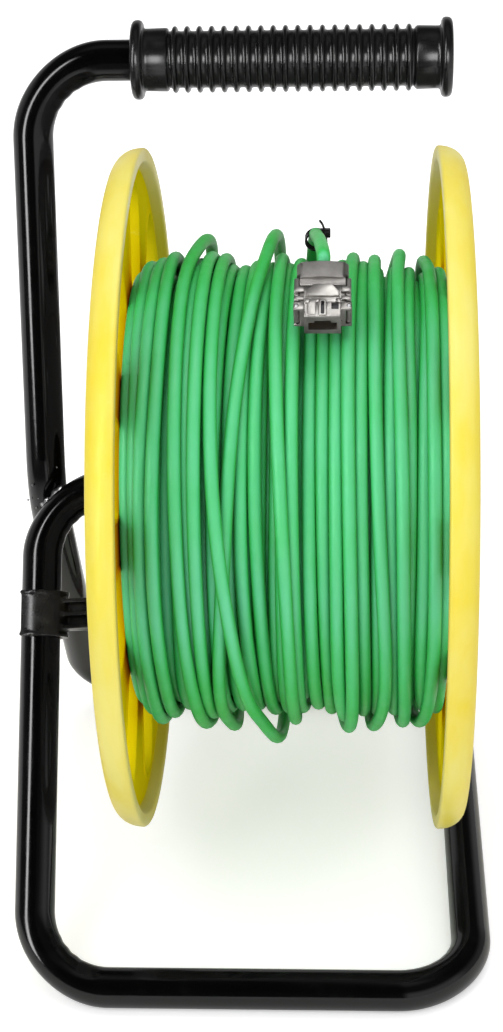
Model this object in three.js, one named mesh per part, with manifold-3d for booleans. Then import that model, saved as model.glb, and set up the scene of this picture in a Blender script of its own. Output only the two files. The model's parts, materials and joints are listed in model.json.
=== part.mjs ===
// Cable reel: a yellow flanged drum of network cable that turns on the free end of one bent steel tube.
// The same tube makes the axle, the floor loop, the post and the handle.
// Units are millimetres, +Z is up, X runs along the axle and the reel is worked from the -Y side.
// The origin is on the floor, under the middle of the whole reel.

import * as THREE from "three";
import { mergeVertices } from "three/addons/utils/BufferGeometryUtils.js";
import Module from "manifold-3d";

const wasm = await Module();
wasm.setup();

// ---------------------------------------------------------------- driving dimensions

const GAP = 0.3; // space between neighbouring solids

// Steel tube and the corners of its centre line
const TUBE_R = 9;
const TUBE_WALL = 1.5;
const TUBE_FACETS = 12;
const BORE_FACETS = 8;
const TUBE_BEND_R = 34;
const ARCH_BEND_R = 32;
const KINK_BEND_R = 50;
const BEND_STEP_DEG = 22.5;
const SIDE_X = 98.5; // left and right tubes, from the middle
const FRONT_Y = -142;
const REAR_Y = 93;
const AXLE_Z = 185;
const KINK_Y = 6.8;
const KINK_Z = 177;
const HANDLE_Y = 62;
const HANDLE_Z = 368;
const FLOOR_Z = TUBE_R * Math.cos(Math.PI / TUBE_FACETS); // the lowest flats rest on the floor

// Weld metal in the crevice where the post passes behind the arch
const WELD_BEADS = [
  { at: [-91, 2.6, 183.5], size: [5, 4, 4] },
  { at: [-93.5, 3.6, 179.5], size: [5, 3.6, 5] },
  { at: [-97, 2.6, 175], size: [4.4, 3.6, 4.6] },
];

// Drum, along its own axis from the middle of the barrel
const DRUM_X = 16.5;
const DRUM_FACETS = 30;
const FLANGE_R = 155;
const FLANGE_INNER_X = 65; // inner lip of each flange
const RIM_WIDTH = 12;
// The rim's rounded back: distance from its outer edge, drop below the flange's radius
const RIM_BACK = [
  [5, 1],
  [1.5, 3.2],
  [0, 6],
];
const RIM_WALL = 2.3;
const LIP_WIDTH = 5; // flat inner edge of the rim
const EDGE_ROUND = 1;
const WEB_SET_BACK = 1;
const WEB_THICKNESS = 2.4;
const RING_SET_BACK = 5; // the ring with the windows lies deeper than the middle of the web
const RING_STEP_R = 75.5;
const RING_STEP = 1.5; // growth in radius over the step from the middle to the ring
const HUB_R = 20;
const HUB_INNER_LENGTH = 10;
const HUB_OUTER_LENGTH = 5;
const BARREL_R = 73;
const BARREL_WALL = 3;
const WINDING_R = 109;
const CUT_PAST = 5; // how far a cutter runs past what it cuts

// Windows in each flange
const WINDOW_COUNT = 10;
const WINDOW_MIDDLE_R = 113;
const WINDOW_LENGTH = 54;
const WINDOW_WIDTH = 40;
const WINDOW_CORNER_R = 17;
const WINDOW_PHASE_DEG = 20; // first window, from straight up towards the front

// Bushes and the axle's end
const BUSH_R = 15;
const BUSH_BORE_R = 9.3;
const BUSH_COLLAR_R = 19;
const BUSH_COLLAR = 2;
const BUSH_FACETS = 24;
const AXLE_END_X = 74;
const INSERT_R = 6.6;
const INSERT_LENGTH = 24;
const WASHER_R = 16;
const WASHER_THICKNESS = 2;
const BOLT_R = 3.2;
const BOLT_HEAD_R = 7.5;
const BOLT_HEAD_HEIGHT = 5.3;
const BOLT_LENGTH = 22;
const BOLT_FACETS = 12;
const CAP_R = 23.5;
const CAP_DEPTH = 15;
const CAP_WALL = 1.8;
const CAP_SHOULDER = 4; // the rounded edge of the cap, along and across
const CAP_CROWN = 1.2;

// Flange screws
const SCREW_COUNT = 5;
const SCREW_CIRCLE_R = 65;
const SCREW_R = 1.9;
const SCREW_LENGTH = 16;
const SCREW_HEAD_R = 4.2;
const SCREW_HEAD_HEIGHT = 2.6;
const SCREW_HEAD_EDGE = 1.2;
const SCREW_TIP = 2;
const SCREW_FACETS = 8;
const BOSS_R = 6.4;
const SCREW_PHASE_DEG = 38;

// Handle grip
const GRIP_X = 17.6;
const GRIP_LENGTH = 141;
const GRIP_DISC_R = 17.3;
const GRIP_DISC_WIDTH = 5;
const GRIP_DISC_ROUND = 1.2;
const GRIP_COLLAR_R = 13.7;
const GRIP_COLLAR_WIDTH = 11.3;
const GRIP_COLLAR_TAPER = 0.5;
const GRIP_RIB_COUNT = 20;
const GRIP_RIB_R = 14.5;
const GRIP_GROOVE_R = 12.35;
const GRIP_RIB_HALF = 0.34; // half a rib's foot, as a share of the ribs' pitch
const GRIP_FACETS = 10;

// Hub bracket, along the front strut and the axle
const BRACKET_DROP = 59; // middle of the clip below the axle, along the strut
const CLIP_HEIGHT = 21;
const CLIP_R = 12.6;
const CLIP_MOUTH_DEG = 96;
const RING_R = 19;
const RING_WIDTH = 7;
const RING_X = -80; // frame side of the ring, from the middle of the drum
const ARM_START = TUBE_R + 1.5;
const ARM_DEPTH = 7;
const ARM_HEIGHT = 14;
const ARM_PLATE = 1.5; // half the thickness of the plate between the ribs
const ARM_RIB = 2;

// Cable
const CABLE_R = 2.9;
const CABLE_FACETS = 8;
const TAIL_SIDE_STEP = 6; // sideways drift of the outer end between the winding and the jack
const TAIL_LIFT = 5; // height it gains over the winding before it turns into the jack
const TAIL_REACH_DEG = 62;
const CABLE_IN_JACK = 5;

// Jack: width across, length towards its port, thickness away from what it lies on
const JACK_WIDTH = 19;
const JACK_NOSE_WIDTH = 15.2;
const JACK_THICKNESS = 13;
const JACK_REAR_Y = -2;
const JACK_SHOULDER_Y = 10;
const JACK_NOSE_Y = 13.5;
const JACK_CAP_Y = -13.5;
const JACK_CAP_WIDTH = 21.5;
const PORT_WIDTH = 11.8;
const PORT_HEIGHT = 6.8;
const PORT_DEPTH = 13;
const LATCH_WIDTH = 12;
const LATCH_HEIGHT = 0.8;
const LATCH_END_Y = 4;
const CARRIER_DEPTH = 2.5; // contact carrier at the bottom of the port
const CONTACT_LENGTH = 6;
const CONTACT_THICKNESS = 1.4;
const WIRE_WAY_WIDTH = 8; // the way for the wires between the rear cap and the port
const WIRE_WAY_HEIGHT = 5;
const CAP_OVERLAP = 0.6; // how far the rear cap stands over the body
const CAP_CORNER = 3;
const WING_THICKNESS = 2;
const WING_HEIGHT = 9.4;
const WING_REAR_Y = -7;
const WING_PIN_Y = 8;
const WING_PIN_R = 0.8;
const WING_KNUCKLE_R = 1.2;
const WING_PIN_GAP = 0.12;
const EAR_HALF = 2; // half the width of the lugs that hold a wing's pin
const PIN_FACETS = 8;
const SMALL_FACETS = 12;

// Places on the drum, as angles from straight up towards the front
const OUTER_JACK_DEG = 20;
const OUTER_JACK_LEAN_DEG = 32;
const OUTER_JACK_X = 15.4;
const OUTER_JACK_R = 122.5;
const INNER_JACK_R = 42;
const INNER_JACK_X = FLANGE_INNER_X + WEB_SET_BACK - GAP - JACK_SHOULDER_Y;
const LEAD_HOLE_X = 20; // lets the inner end of the cable into the barrel
const LEAD_HOLE_DEG = 24;
const LEAD_HOLE_R = 4.4;

// ---------------------------------------------------------------- materials

function finish(color, roughness, metalness) {
  return new THREE.MeshStandardMaterial({ color, roughness, metalness });
}

const BLACK_PAINT = finish(0x0b0b0c, 0.18, 0.35);
const BLACK_PLASTIC = finish(0x151516, 0.45, 0);
const YELLOW_PLASTIC = finish(0xf6dc1e, 0.4, 0);
const GREEN_CABLE = finish(0x2fae52, 0.5, 0);
const NICKEL = finish(0xb9b6b2, 0.28, 1);
const STEEL = finish(0xa8aaad, 0.35, 1);
const GREY_PLASTIC = finish(0x77797b, 0.5, 0);
const BUSH_PLASTIC = finish(0xe9e6dc, 0.5, 0);

// ---------------------------------------------------------------- solids

const rad = THREE.MathUtils.degToRad;

function toSolid(geometry) {
  const bare = geometry.clone();
  bare.deleteAttribute("normal");
  bare.deleteAttribute("uv");
  const merged = mergeVertices(bare, 1e-3);
  return new wasm.Manifold(
    new wasm.Mesh({
      numProp: 3,
      vertProperties: merged.attributes.position.array,
      triVerts: new Uint32Array(merged.index.array),
    }),
  );
}

function toGeometry(solid) {
  const made = solid.getMesh();
  const geometry = new THREE.BufferGeometry();
  geometry.setAttribute("position", new THREE.BufferAttribute(made.vertProperties, 3));
  geometry.setIndex(new THREE.BufferAttribute(made.triVerts, 1));
  const flat = geometry.toNonIndexed();
  flat.computeVertexNormals();
  return flat;
}

// The first geometry, joined with the added ones, less the cut ones.
function carve(base, { add = [], cut = [] }) {
  let solid = toSolid(base);
  for (const piece of add) solid = solid.add(toSolid(piece));
  for (const piece of cut) solid = solid.subtract(toSolid(piece));
  return toGeometry(solid);
}

function named(name, geometry, material) {
  const mesh = new THREE.Mesh(geometry, material);
  mesh.name = name;
  return mesh;
}

// A block from its lowest and highest corners.
function block(low, high) {
  const size = high.map((value, i) => value - low[i]);
  const middle = high.map((value, i) => (value + low[i]) / 2);
  return new THREE.BoxGeometry(...size).translate(...middle);
}

// A closed section, as [x, r] points, turned round the X axis.
function turned(section, facets) {
  const loop = [...section, section[0]].map(([x, r]) => new THREE.Vector2(r, x));
  const area = loop.slice(1).reduce((sum, p, i) => sum + loop[i].cross(p), 0);
  if (area < 0) loop.reverse();
  return new THREE.LatheGeometry(loop, facets).rotateZ(-Math.PI / 2);
}

// A plain ring or, with no bore, a plain rod, along X.
function ringX(x0, x1, outer, bore, facets) {
  return turned([[x0, bore], [x0, outer], [x1, outer], [x1, bore]], facets);
}

function rodX(x0, x1, radius, facets) {
  return new THREE.CylinderGeometry(radius, radius, x1 - x0, facets)
    .rotateZ(-Math.PI / 2)
    .translate((x0 + x1) / 2, 0, 0);
}

function rodY(y0, y1, radius, facets) {
  return new THREE.CylinderGeometry(radius, radius, y1 - y0, facets).translate(0, (y0 + y1) / 2, 0);
}

function rodZ(z0, z1, radius, facets) {
  return new THREE.CylinderGeometry(radius, radius, z1 - z0, facets)
    .rotateX(Math.PI / 2)
    .translate(0, 0, (z0 + z1) / 2);
}

// Moves a geometry that was made at the top of the drum round to an angle, towards the front.
function aroundDrum(geometry, degrees) {
  return geometry.rotateX(rad(degrees));
}

function polygon(radius, count, firstAngle) {
  return Array.from({ length: count }, (_, i) => {
    const angle = firstAngle + (2 * Math.PI * i) / count;
    return new THREE.Vector2(radius * Math.cos(angle), radius * Math.sin(angle));
  });
}

function sweep(path, shape, steps) {
  return new THREE.ExtrudeGeometry(shape, { extrudePath: path, steps, curveSegments: 1 });
}

// A short run of cable through a few points.
function cableRun(points, steps) {
  const path = new THREE.CatmullRomCurve3(points.map((p) => new THREE.Vector3(...p)));
  return sweep(path, new THREE.Shape(polygon(CABLE_R, CABLE_FACETS, 0)), steps);
}

// ---------------------------------------------------------------- bent tube

// A centre line of straights and round bends. It is sampled where the tube changes direction:
// once at the end of each straight, and every few degrees round each bend.
class BentPath extends THREE.Curve {
  constructor(corners) {
    super();
    this.stations = [];
    const points = corners.map(({ at }) => new THREE.Vector3(...at));
    const last = points.length - 1;
    this.push(points[0], points[1].clone().sub(points[0]).normalize());
    for (let i = 1; i < last; i++) {
      this.bend(points[i - 1], points[i], points[i + 1], corners[i].bend);
    }
    this.push(points[last], points[last].clone().sub(points[last - 1]).normalize());
  }

  push(point, tangent) {
    this.stations.push({ point, tangent });
  }

  bend(before, corner, after, radius) {
    const incoming = corner.clone().sub(before).normalize();
    const outgoing = after.clone().sub(corner).normalize();
    const turn = incoming.angleTo(outgoing);
    const setBack = radius * Math.tan(turn / 2);
    const axis = incoming.clone().cross(outgoing).normalize();
    const start = corner.clone().addScaledVector(incoming, -setBack);
    const toCentre = axis.clone().cross(incoming);
    const centre = start.clone().addScaledVector(toCentre, radius);
    const steps = Math.ceil(turn / rad(BEND_STEP_DEG));
    for (let i = 0; i <= steps; i++) {
      const angle = (turn * i) / steps;
      const arm = toCentre.clone().multiplyScalar(-radius).applyAxisAngle(axis, angle);
      this.push(centre.clone().add(arm), incoming.clone().applyAxisAngle(axis, angle));
    }
  }

  get steps() {
    return this.stations.length - 1;
  }

  getPoint(t, target = new THREE.Vector3()) {
    return target.copy(this.stations[Math.round(t * this.steps)].point);
  }

  getPointAt(t, target) {
    return this.getPoint(t, target);
  }

  getTangent(t, target = new THREE.Vector3()) {
    return target.copy(this.stations[Math.round(t * this.steps)].tangent);
  }

  getTangentAt(t, target) {
    return this.getTangent(t, target);
  }
}

function framePath() {
  return new BentPath([
    { at: [DRUM_X + AXLE_END_X, 0, AXLE_Z] },
    { at: [-SIDE_X, 0, AXLE_Z], bend: ARCH_BEND_R },
    { at: [-SIDE_X, FRONT_Y, FLOOR_Z], bend: TUBE_BEND_R },
    { at: [SIDE_X, FRONT_Y, FLOOR_Z], bend: TUBE_BEND_R },
    { at: [SIDE_X, REAR_Y, FLOOR_Z], bend: TUBE_BEND_R },
    { at: [-SIDE_X, REAR_Y, FLOOR_Z], bend: TUBE_BEND_R },
    { at: [-SIDE_X, KINK_Y, KINK_Z], bend: KINK_BEND_R },
    { at: [-SIDE_X, HANDLE_Y, HANDLE_Z], bend: TUBE_BEND_R },
    { at: [GRIP_X + GRIP_LENGTH / 2 - GRIP_DISC_WIDTH, HANDLE_Y, HANDLE_Z] },
  ]);
}

// The angle, in the swept section, that points straight down along the floor loop.
function downAngle(path) {
  const frames = path.computeFrenetFrames(path.steps, false);
  const onFloor = path.stations.findIndex(
    ({ point, tangent }) => Math.abs(point.z - FLOOR_Z) < 1e-6 && Math.abs(tangent.x) > 0.999,
  );
  const down = new THREE.Vector3(0, 0, -1);
  return Math.atan2(down.dot(frames.binormals[onFloor]), down.dot(frames.normals[onFloor]));
}

function weldBeads() {
  return WELD_BEADS.map(({ at, size }) =>
    new THREE.IcosahedronGeometry(1, 1).scale(...size).translate(...at),
  );
}

function frameTube() {
  const path = framePath();
  const flat = downAngle(path);
  const outline = new THREE.Shape(polygon(TUBE_R, TUBE_FACETS, flat + Math.PI / TUBE_FACETS));
  const bore = polygon(TUBE_R - TUBE_WALL, BORE_FACETS, flat + Math.PI / BORE_FACETS);
  outline.holes.push(new THREE.Path(bore));
  const tube = sweep(path, outline, path.steps);
  return named("frame_tube", carve(tube, { add: weldBeads() }), BLACK_PAINT);
}

// ---------------------------------------------------------------- handle grip

function gripSection() {
  const half = GRIP_LENGTH / 2;
  const ribbed = half - GRIP_DISC_WIDTH - GRIP_COLLAR_WIDTH;
  const pitch = (2 * ribbed) / GRIP_RIB_COUNT;
  const boreR = (TUBE_R + GAP) / Math.cos(Math.PI / GRIP_FACETS);
  const boreEnd = half - GRIP_DISC_WIDTH + GAP;
  // Each end as distances in from the end and radii
  const end = [
    [0, GRIP_DISC_R - EDGE_ROUND],
    [GRIP_DISC_ROUND, GRIP_DISC_R],
    [GRIP_DISC_WIDTH - GRIP_DISC_ROUND, GRIP_DISC_R],
    [GRIP_DISC_WIDTH, GRIP_COLLAR_R - GRIP_COLLAR_TAPER],
    [half - ribbed, GRIP_COLLAR_R],
  ];
  const section = [[-half, boreR], ...end.map(([x, r]) => [x - half, r])];
  for (let i = 0; i < GRIP_RIB_COUNT; i++) {
    const middle = -ribbed + pitch * (i + 0.5);
    section.push([middle - GRIP_RIB_HALF * pitch, GRIP_GROOVE_R]);
    section.push([middle, GRIP_RIB_R]);
    section.push([middle + GRIP_RIB_HALF * pitch, GRIP_GROOVE_R]);
  }
  section.push(...end.reverse().map(([x, r]) => [half - x, r]));
  section.push([half, 0]);
  section.push([boreEnd, 0]);
  section.push([boreEnd, boreR]);
  return section;
}

function handleGrip() {
  const grip = named("handle_grip", turned(gripSection(), GRIP_FACETS), BLACK_PLASTIC);
  grip.position.set(GRIP_X, HANDLE_Y, HANDLE_Z);
  return grip;
}

// ---------------------------------------------------------------- hub bracket

// A split ring that snaps on the strut, open away from the drum.
function bracketClip() {
  const mouth = rad(CLIP_MOUTH_DEG);
  const start = Math.PI + mouth / 2;
  const end = 3 * Math.PI - mouth / 2;
  const outline = new THREE.Shape();
  outline.absarc(0, 0, CLIP_R, start, end, false);
  outline.absarc(0, 0, TUBE_R + GAP, end, start, true);
  const clip = new THREE.ExtrudeGeometry(outline, {
    depth: CLIP_HEIGHT,
    curveSegments: 14,
    bevelEnabled: false,
  });
  return clip.translate(0, 0, -CLIP_HEIGHT / 2).rotateX(Math.PI / 2).translate(0, -BRACKET_DROP, 0);
}

// The bracket's own axes are X along the axle, Y up the strut and Z towards the front.
function hubBracket() {
  const ringX0 = DRUM_X + RING_X + SIDE_X;
  const ringX1 = ringX0 + RING_WIDTH;
  const armLow = -BRACKET_DROP - ARM_HEIGHT / 2;
  const armHigh = -BRACKET_DROP + ARM_HEIGHT / 2;
  const plate = block([ARM_START, armLow, -ARM_PLATE], [ringX1, armHigh, ARM_PLATE]);
  const ribs = [armLow, (armLow + armHigh - ARM_RIB) / 2, armHigh - ARM_RIB].map((y) =>
    block([ARM_START, y, -ARM_DEPTH], [ringX1, y + ARM_RIB, ARM_DEPTH]),
  );
  const riser = block([ringX0 + ARM_RIB, armLow, -ARM_DEPTH], [ringX1, 0, ARM_DEPTH]);
  const ring = ringX(ringX0, ringX1, RING_R, TUBE_R, BUSH_FACETS);
  const axleHole = rodX(ringX0 - CUT_PAST, ringX1 + CUT_PAST, BUSH_BORE_R + GAP, BUSH_FACETS);
  const strutHole = rodY(
    -BRACKET_DROP - CLIP_HEIGHT,
    -BRACKET_DROP + CLIP_HEIGHT,
    TUBE_R + GAP,
    BUSH_FACETS,
  );
  const shape = carve(bracketClip(), {
    add: [plate, ...ribs, riser, ring],
    cut: [axleHole, strutHole],
  });
  const bracket = named("hub_bracket", shape, BLACK_PLASTIC);
  bracket.position.set(-SIDE_X, 0, AXLE_Z);
  bracket.rotation.x = Math.atan2(AXLE_Z - FLOOR_Z, -FRONT_Y);
  return bracket;
}

// ---------------------------------------------------------------- drum shell

// The drum's pieces are made for its +X side; this mirrors one to the -X side.
function onSide(geometry, side) {
  return side > 0 ? geometry : toGeometry(toSolid(geometry).mirror([1, 0, 0]));
}

function windowOutline() {
  const w = WINDOW_WIDTH / 2;
  const h = WINDOW_LENGTH / 2;
  const r = WINDOW_CORNER_R;
  const outline = new THREE.Shape();
  outline.absarc(w - r, h - r, r, 0, Math.PI / 2, false);
  outline.absarc(r - w, h - r, r, Math.PI / 2, Math.PI, false);
  outline.absarc(r - w, r - h, r, Math.PI, 1.5 * Math.PI, false);
  outline.absarc(w - r, r - h, r, 1.5 * Math.PI, 2 * Math.PI, false);
  return outline;
}

// One window cutter, through the web of the flange that faces +X.
function windowCutter(index) {
  const depth = 4 * CUT_PAST;
  const cutter = new THREE.ExtrudeGeometry(windowOutline(), {
    depth,
    curveSegments: 2,
    bevelEnabled: false,
  });
  cutter.translate(0, WINDOW_MIDDLE_R, 0).rotateX(Math.PI / 2).rotateZ(Math.PI / 2);
  cutter.translate(FLANGE_INNER_X - depth / 2, 0, 0);
  return aroundDrum(cutter, WINDOW_PHASE_DEG + (360 / WINDOW_COUNT) * index);
}

function screwAngle(index) {
  return SCREW_PHASE_DEG + (360 / SCREW_COUNT) * index;
}

// A rod round the axis of one screw, for its hole or its boss.
function screwRod(index, x0, x1, radius) {
  const rod = rodX(x0, x1, radius, SCREW_FACETS).translate(0, 0, SCREW_CIRCLE_R);
  return aroundDrum(rod, screwAngle(index));
}

function flangeSection() {
  const lip = FLANGE_INNER_X;
  const webIn = lip + WEB_SET_BACK;
  const webOut = webIn + WEB_THICKNESS;
  const ringIn = lip + RING_SET_BACK;
  const ringOut = ringIn + WEB_THICKNESS;
  const edge = lip + RIM_WIDTH;
  const back = RIM_BACK.map(([x, drop]) => [edge - x, FLANGE_R - drop]);
  return [
    [webIn - HUB_INNER_LENGTH, BUSH_R + GAP],
    [webIn - HUB_INNER_LENGTH, HUB_R],
    [webIn, HUB_R],
    [webIn, RING_STEP_R],
    [ringIn, RING_STEP_R + RING_STEP],
    [ringIn, FLANGE_R - LIP_WIDTH - EDGE_ROUND - 2],
    [lip, FLANGE_R - LIP_WIDTH - EDGE_ROUND],
    [lip, FLANGE_R - EDGE_ROUND],
    [lip + EDGE_ROUND, FLANGE_R],
    ...back,
    [edge - RIM_WALL, back[2][1] - 1],
    [ringOut + 1, back[1][1] - RIM_WALL + 0.4],
    [ringOut, back[0][1] - RIM_WALL - EDGE_ROUND],
    [ringOut, RING_STEP_R + RING_STEP - EDGE_ROUND],
    [webOut, RING_STEP_R - EDGE_ROUND],
    [webOut, HUB_R],
    [lip + HUB_OUTER_LENGTH, HUB_R],
    [lip + HUB_OUTER_LENGTH, BUSH_R + GAP],
  ];
}

// The cut-out that the fixed jack snaps into.
function jackCutout() {
  const x = FLANGE_INNER_X;
  const w = JACK_NOSE_WIDTH / 2 + GAP;
  const t = JACK_THICKNESS / 2 + GAP;
  return block([x - CUT_PAST, -w, INNER_JACK_R - t], [x + 2 * CUT_PAST, w, INNER_JACK_R + t]);
}

function flange(name, side) {
  const x0 = FLANGE_INNER_X - CUT_PAST;
  const x1 = FLANGE_INNER_X + 2 * CUT_PAST;
  const windows = Array.from({ length: WINDOW_COUNT }, (_, i) => windowCutter(i));
  const holes = Array.from({ length: SCREW_COUNT }, (_, i) => screwRod(i, x0, x1, SCREW_R + GAP));
  const cut = [...windows, ...holes];
  if (side > 0) cut.push(jackCutout());
  const shape = carve(turned(flangeSection(), DRUM_FACETS), { cut });
  return named(name, onSide(shape, side), YELLOW_PLASTIC);
}

function drumBarrel() {
  const half = FLANGE_INNER_X + WEB_SET_BACK - GAP;
  const tube = ringX(-half, half, BARREL_R, BARREL_R - BARREL_WALL, DRUM_FACETS);
  const bosses = [];
  const holes = [];
  for (let i = 0; i < SCREW_COUNT; i++) {
    bosses.push(screwRod(i, -half, half, BOSS_R));
    holes.push(screwRod(i, -half - CUT_PAST, -half + SCREW_LENGTH, SCREW_R + GAP));
    holes.push(screwRod(i, half - SCREW_LENGTH, half + CUT_PAST, SCREW_R + GAP));
  }
  const leadHole = rodZ(
    BARREL_R - BARREL_WALL - CUT_PAST,
    BARREL_R + CUT_PAST,
    LEAD_HOLE_R,
    SMALL_FACETS,
  ).translate(LEAD_HOLE_X, 0, 0);
  holes.push(aroundDrum(leadHole, LEAD_HOLE_DEG));
  return named("drum_barrel", carve(tube, { add: bosses, cut: holes }), YELLOW_PLASTIC);
}

function bush(name, side) {
  const x0 = FLANGE_INNER_X + WEB_SET_BACK - HUB_INNER_LENGTH;
  const x1 = FLANGE_INNER_X + HUB_OUTER_LENGTH + GAP;
  const section = [
    [x0, BUSH_BORE_R],
    [x0, BUSH_R],
    [x1, BUSH_R],
    [x1, BUSH_COLLAR_R],
    [x1 + BUSH_COLLAR, BUSH_COLLAR_R],
    [x1 + BUSH_COLLAR, BUSH_BORE_R],
  ];
  return named(name, onSide(turned(section, BUSH_FACETS), side), BUSH_PLASTIC);
}

function flangeScrew(name, side, index) {
  const seat = FLANGE_INNER_X + WEB_SET_BACK + WEB_THICKNESS + GAP;
  const tip = seat - SCREW_LENGTH;
  const section = [
    [tip, 0],
    [tip + SCREW_TIP, SCREW_R],
    [seat, SCREW_R],
    [seat, SCREW_HEAD_R],
    [seat + SCREW_HEAD_EDGE, SCREW_HEAD_R],
    [seat + SCREW_HEAD_HEIGHT, SCREW_HEAD_R - SCREW_HEAD_EDGE],
    [seat + SCREW_HEAD_HEIGHT, 0],
  ];
  const screw = turned(section, SCREW_FACETS).translate(0, 0, SCREW_CIRCLE_R);
  return named(name, onSide(aroundDrum(screw, screwAngle(index)), side), STEEL);
}

// ---------------------------------------------------------------- axle end

function axleInsert() {
  const x1 = AXLE_END_X - GAP;
  const insert = ringX(x1 - INSERT_LENGTH, x1, INSERT_R, BOLT_R + GAP, BUSH_FACETS);
  return named("axle_insert", insert, STEEL);
}

function axleWasher() {
  const x0 = AXLE_END_X + GAP;
  const washer = ringX(x0, x0 + WASHER_THICKNESS, WASHER_R, BOLT_R + GAP, BUSH_FACETS);
  return named("axle_washer", washer, STEEL);
}

function axleBolt() {
  const seat = AXLE_END_X + WASHER_THICKNESS + 2 * GAP;
  const shank = rodX(seat - BOLT_LENGTH, seat + EDGE_ROUND, BOLT_R, BOLT_FACETS);
  const head = rodX(seat, seat + BOLT_HEAD_HEIGHT, BOLT_HEAD_R, 6);
  return named("axle_bolt", carve(shank, { add: [head] }), STEEL);
}

// A round cap that snaps over the hub and hides the bolt.
function hubCap() {
  const x0 = FLANGE_INNER_X + WEB_SET_BACK + WEB_THICKNESS + GAP;
  const x1 = x0 + CAP_DEPTH;
  const r = CAP_R;
  const section = [
    [x0, r - CAP_WALL],
    [x0, r],
    [x1 - CAP_SHOULDER, r],
    [x1 - CAP_CROWN, r - CAP_SHOULDER / 2],
    [x1, r - CAP_SHOULDER - CAP_WALL],
    [x1, 0],
    [x1 - CAP_WALL, 0],
    [x1 - CAP_WALL, r - CAP_SHOULDER - 2 * CAP_WALL],
    [x1 - CAP_SHOULDER, r - CAP_WALL],
  ];
  return named("hub_cap", turned(section, BUSH_FACETS), BLACK_PLASTIC);
}

// ---------------------------------------------------------------- cable

// The winding fills the drum between the deeper rings of the two flanges.
function cableWinding() {
  const inner = FLANGE_INNER_X + WEB_SET_BACK - 2 * GAP;
  const half = FLANGE_INNER_X + RING_SET_BACK - 2 * GAP;
  const step = RING_STEP_R + 2 * GAP;
  const section = [
    [-half, step + RING_STEP],
    [-half, WINDING_R],
    [half, WINDING_R],
    [half, step + RING_STEP],
    [inner, step],
    [inner, BARREL_R + 2 * GAP],
    [-inner, BARREL_R + 2 * GAP],
    [-inner, step],
  ];
  return named("cable_winding", turned(section, DRUM_FACETS), GREEN_CABLE);
}

// A point on the drum, at a radius and an angle from straight up towards the front.
function drumPoint(x, r, degrees) {
  return [x, -r * Math.sin(rad(degrees)), r * Math.cos(rad(degrees))];
}

// The inner end of the cable, from the hole in the barrel to the fixed jack.
function innerLead() {
  const rear = INNER_JACK_X + JACK_CAP_Y + CABLE_IN_JACK;
  const run = cableRun(
    [
      drumPoint(LEAD_HOLE_X, BARREL_R - 2 * GAP, LEAD_HOLE_DEG),
      drumPoint(LEAD_HOLE_X, BARREL_R - 4 * BARREL_WALL, LEAD_HOLE_DEG),
      drumPoint(rear - 5 * CABLE_R, INNER_JACK_R + CABLE_R, LEAD_HOLE_DEG / 6),
      drumPoint(rear - 2 * CABLE_R, INNER_JACK_R, 0),
      drumPoint(rear, INNER_JACK_R, 0),
    ],
    14,
  );
  return named("inner_lead", run, GREEN_CABLE);
}

// The outer end of the cable leaves the winding, climbs a little and turns over into the free jack.
function outerTail() {
  const [, ry, rz] = jackRearPoint(CABLE_IN_JACK);
  const [, by, bz] = jackRearPoint(-1.6 * CABLE_IN_JACK);
  const onWinding = (share) =>
    drumPoint(
      OUTER_JACK_X - TAIL_SIDE_STEP * share,
      WINDING_R + CABLE_R + 1 + TAIL_LIFT * (1 - share),
      OUTER_JACK_DEG - TAIL_REACH_DEG * (0.25 + 0.75 * share),
    );
  const ends = [
    [OUTER_JACK_X, by, bz],
    [OUTER_JACK_X, ry, rz],
  ];
  const run = cableRun([onWinding(1), onWinding(0.6), onWinding(0.2), ...ends], 16);
  return named("outer_tail", run, GREEN_CABLE);
}

// A point on the free jack's long axis, a given way in from its rear end.
function jackRearPoint(inwards) {
  const along = -(JACK_CAP_Y + inwards);
  const lean = rad(OUTER_JACK_LEAN_DEG);
  const [x, y, z] = drumPoint(OUTER_JACK_X, OUTER_JACK_R, OUTER_JACK_DEG);
  return [x, y + along * Math.cos(lean), z + along * Math.sin(lean)];
}

// ---------------------------------------------------------------- jack

function wingPinX() {
  return JACK_WIDTH / 2 + GAP + WING_THICKNESS / 2;
}

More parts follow.
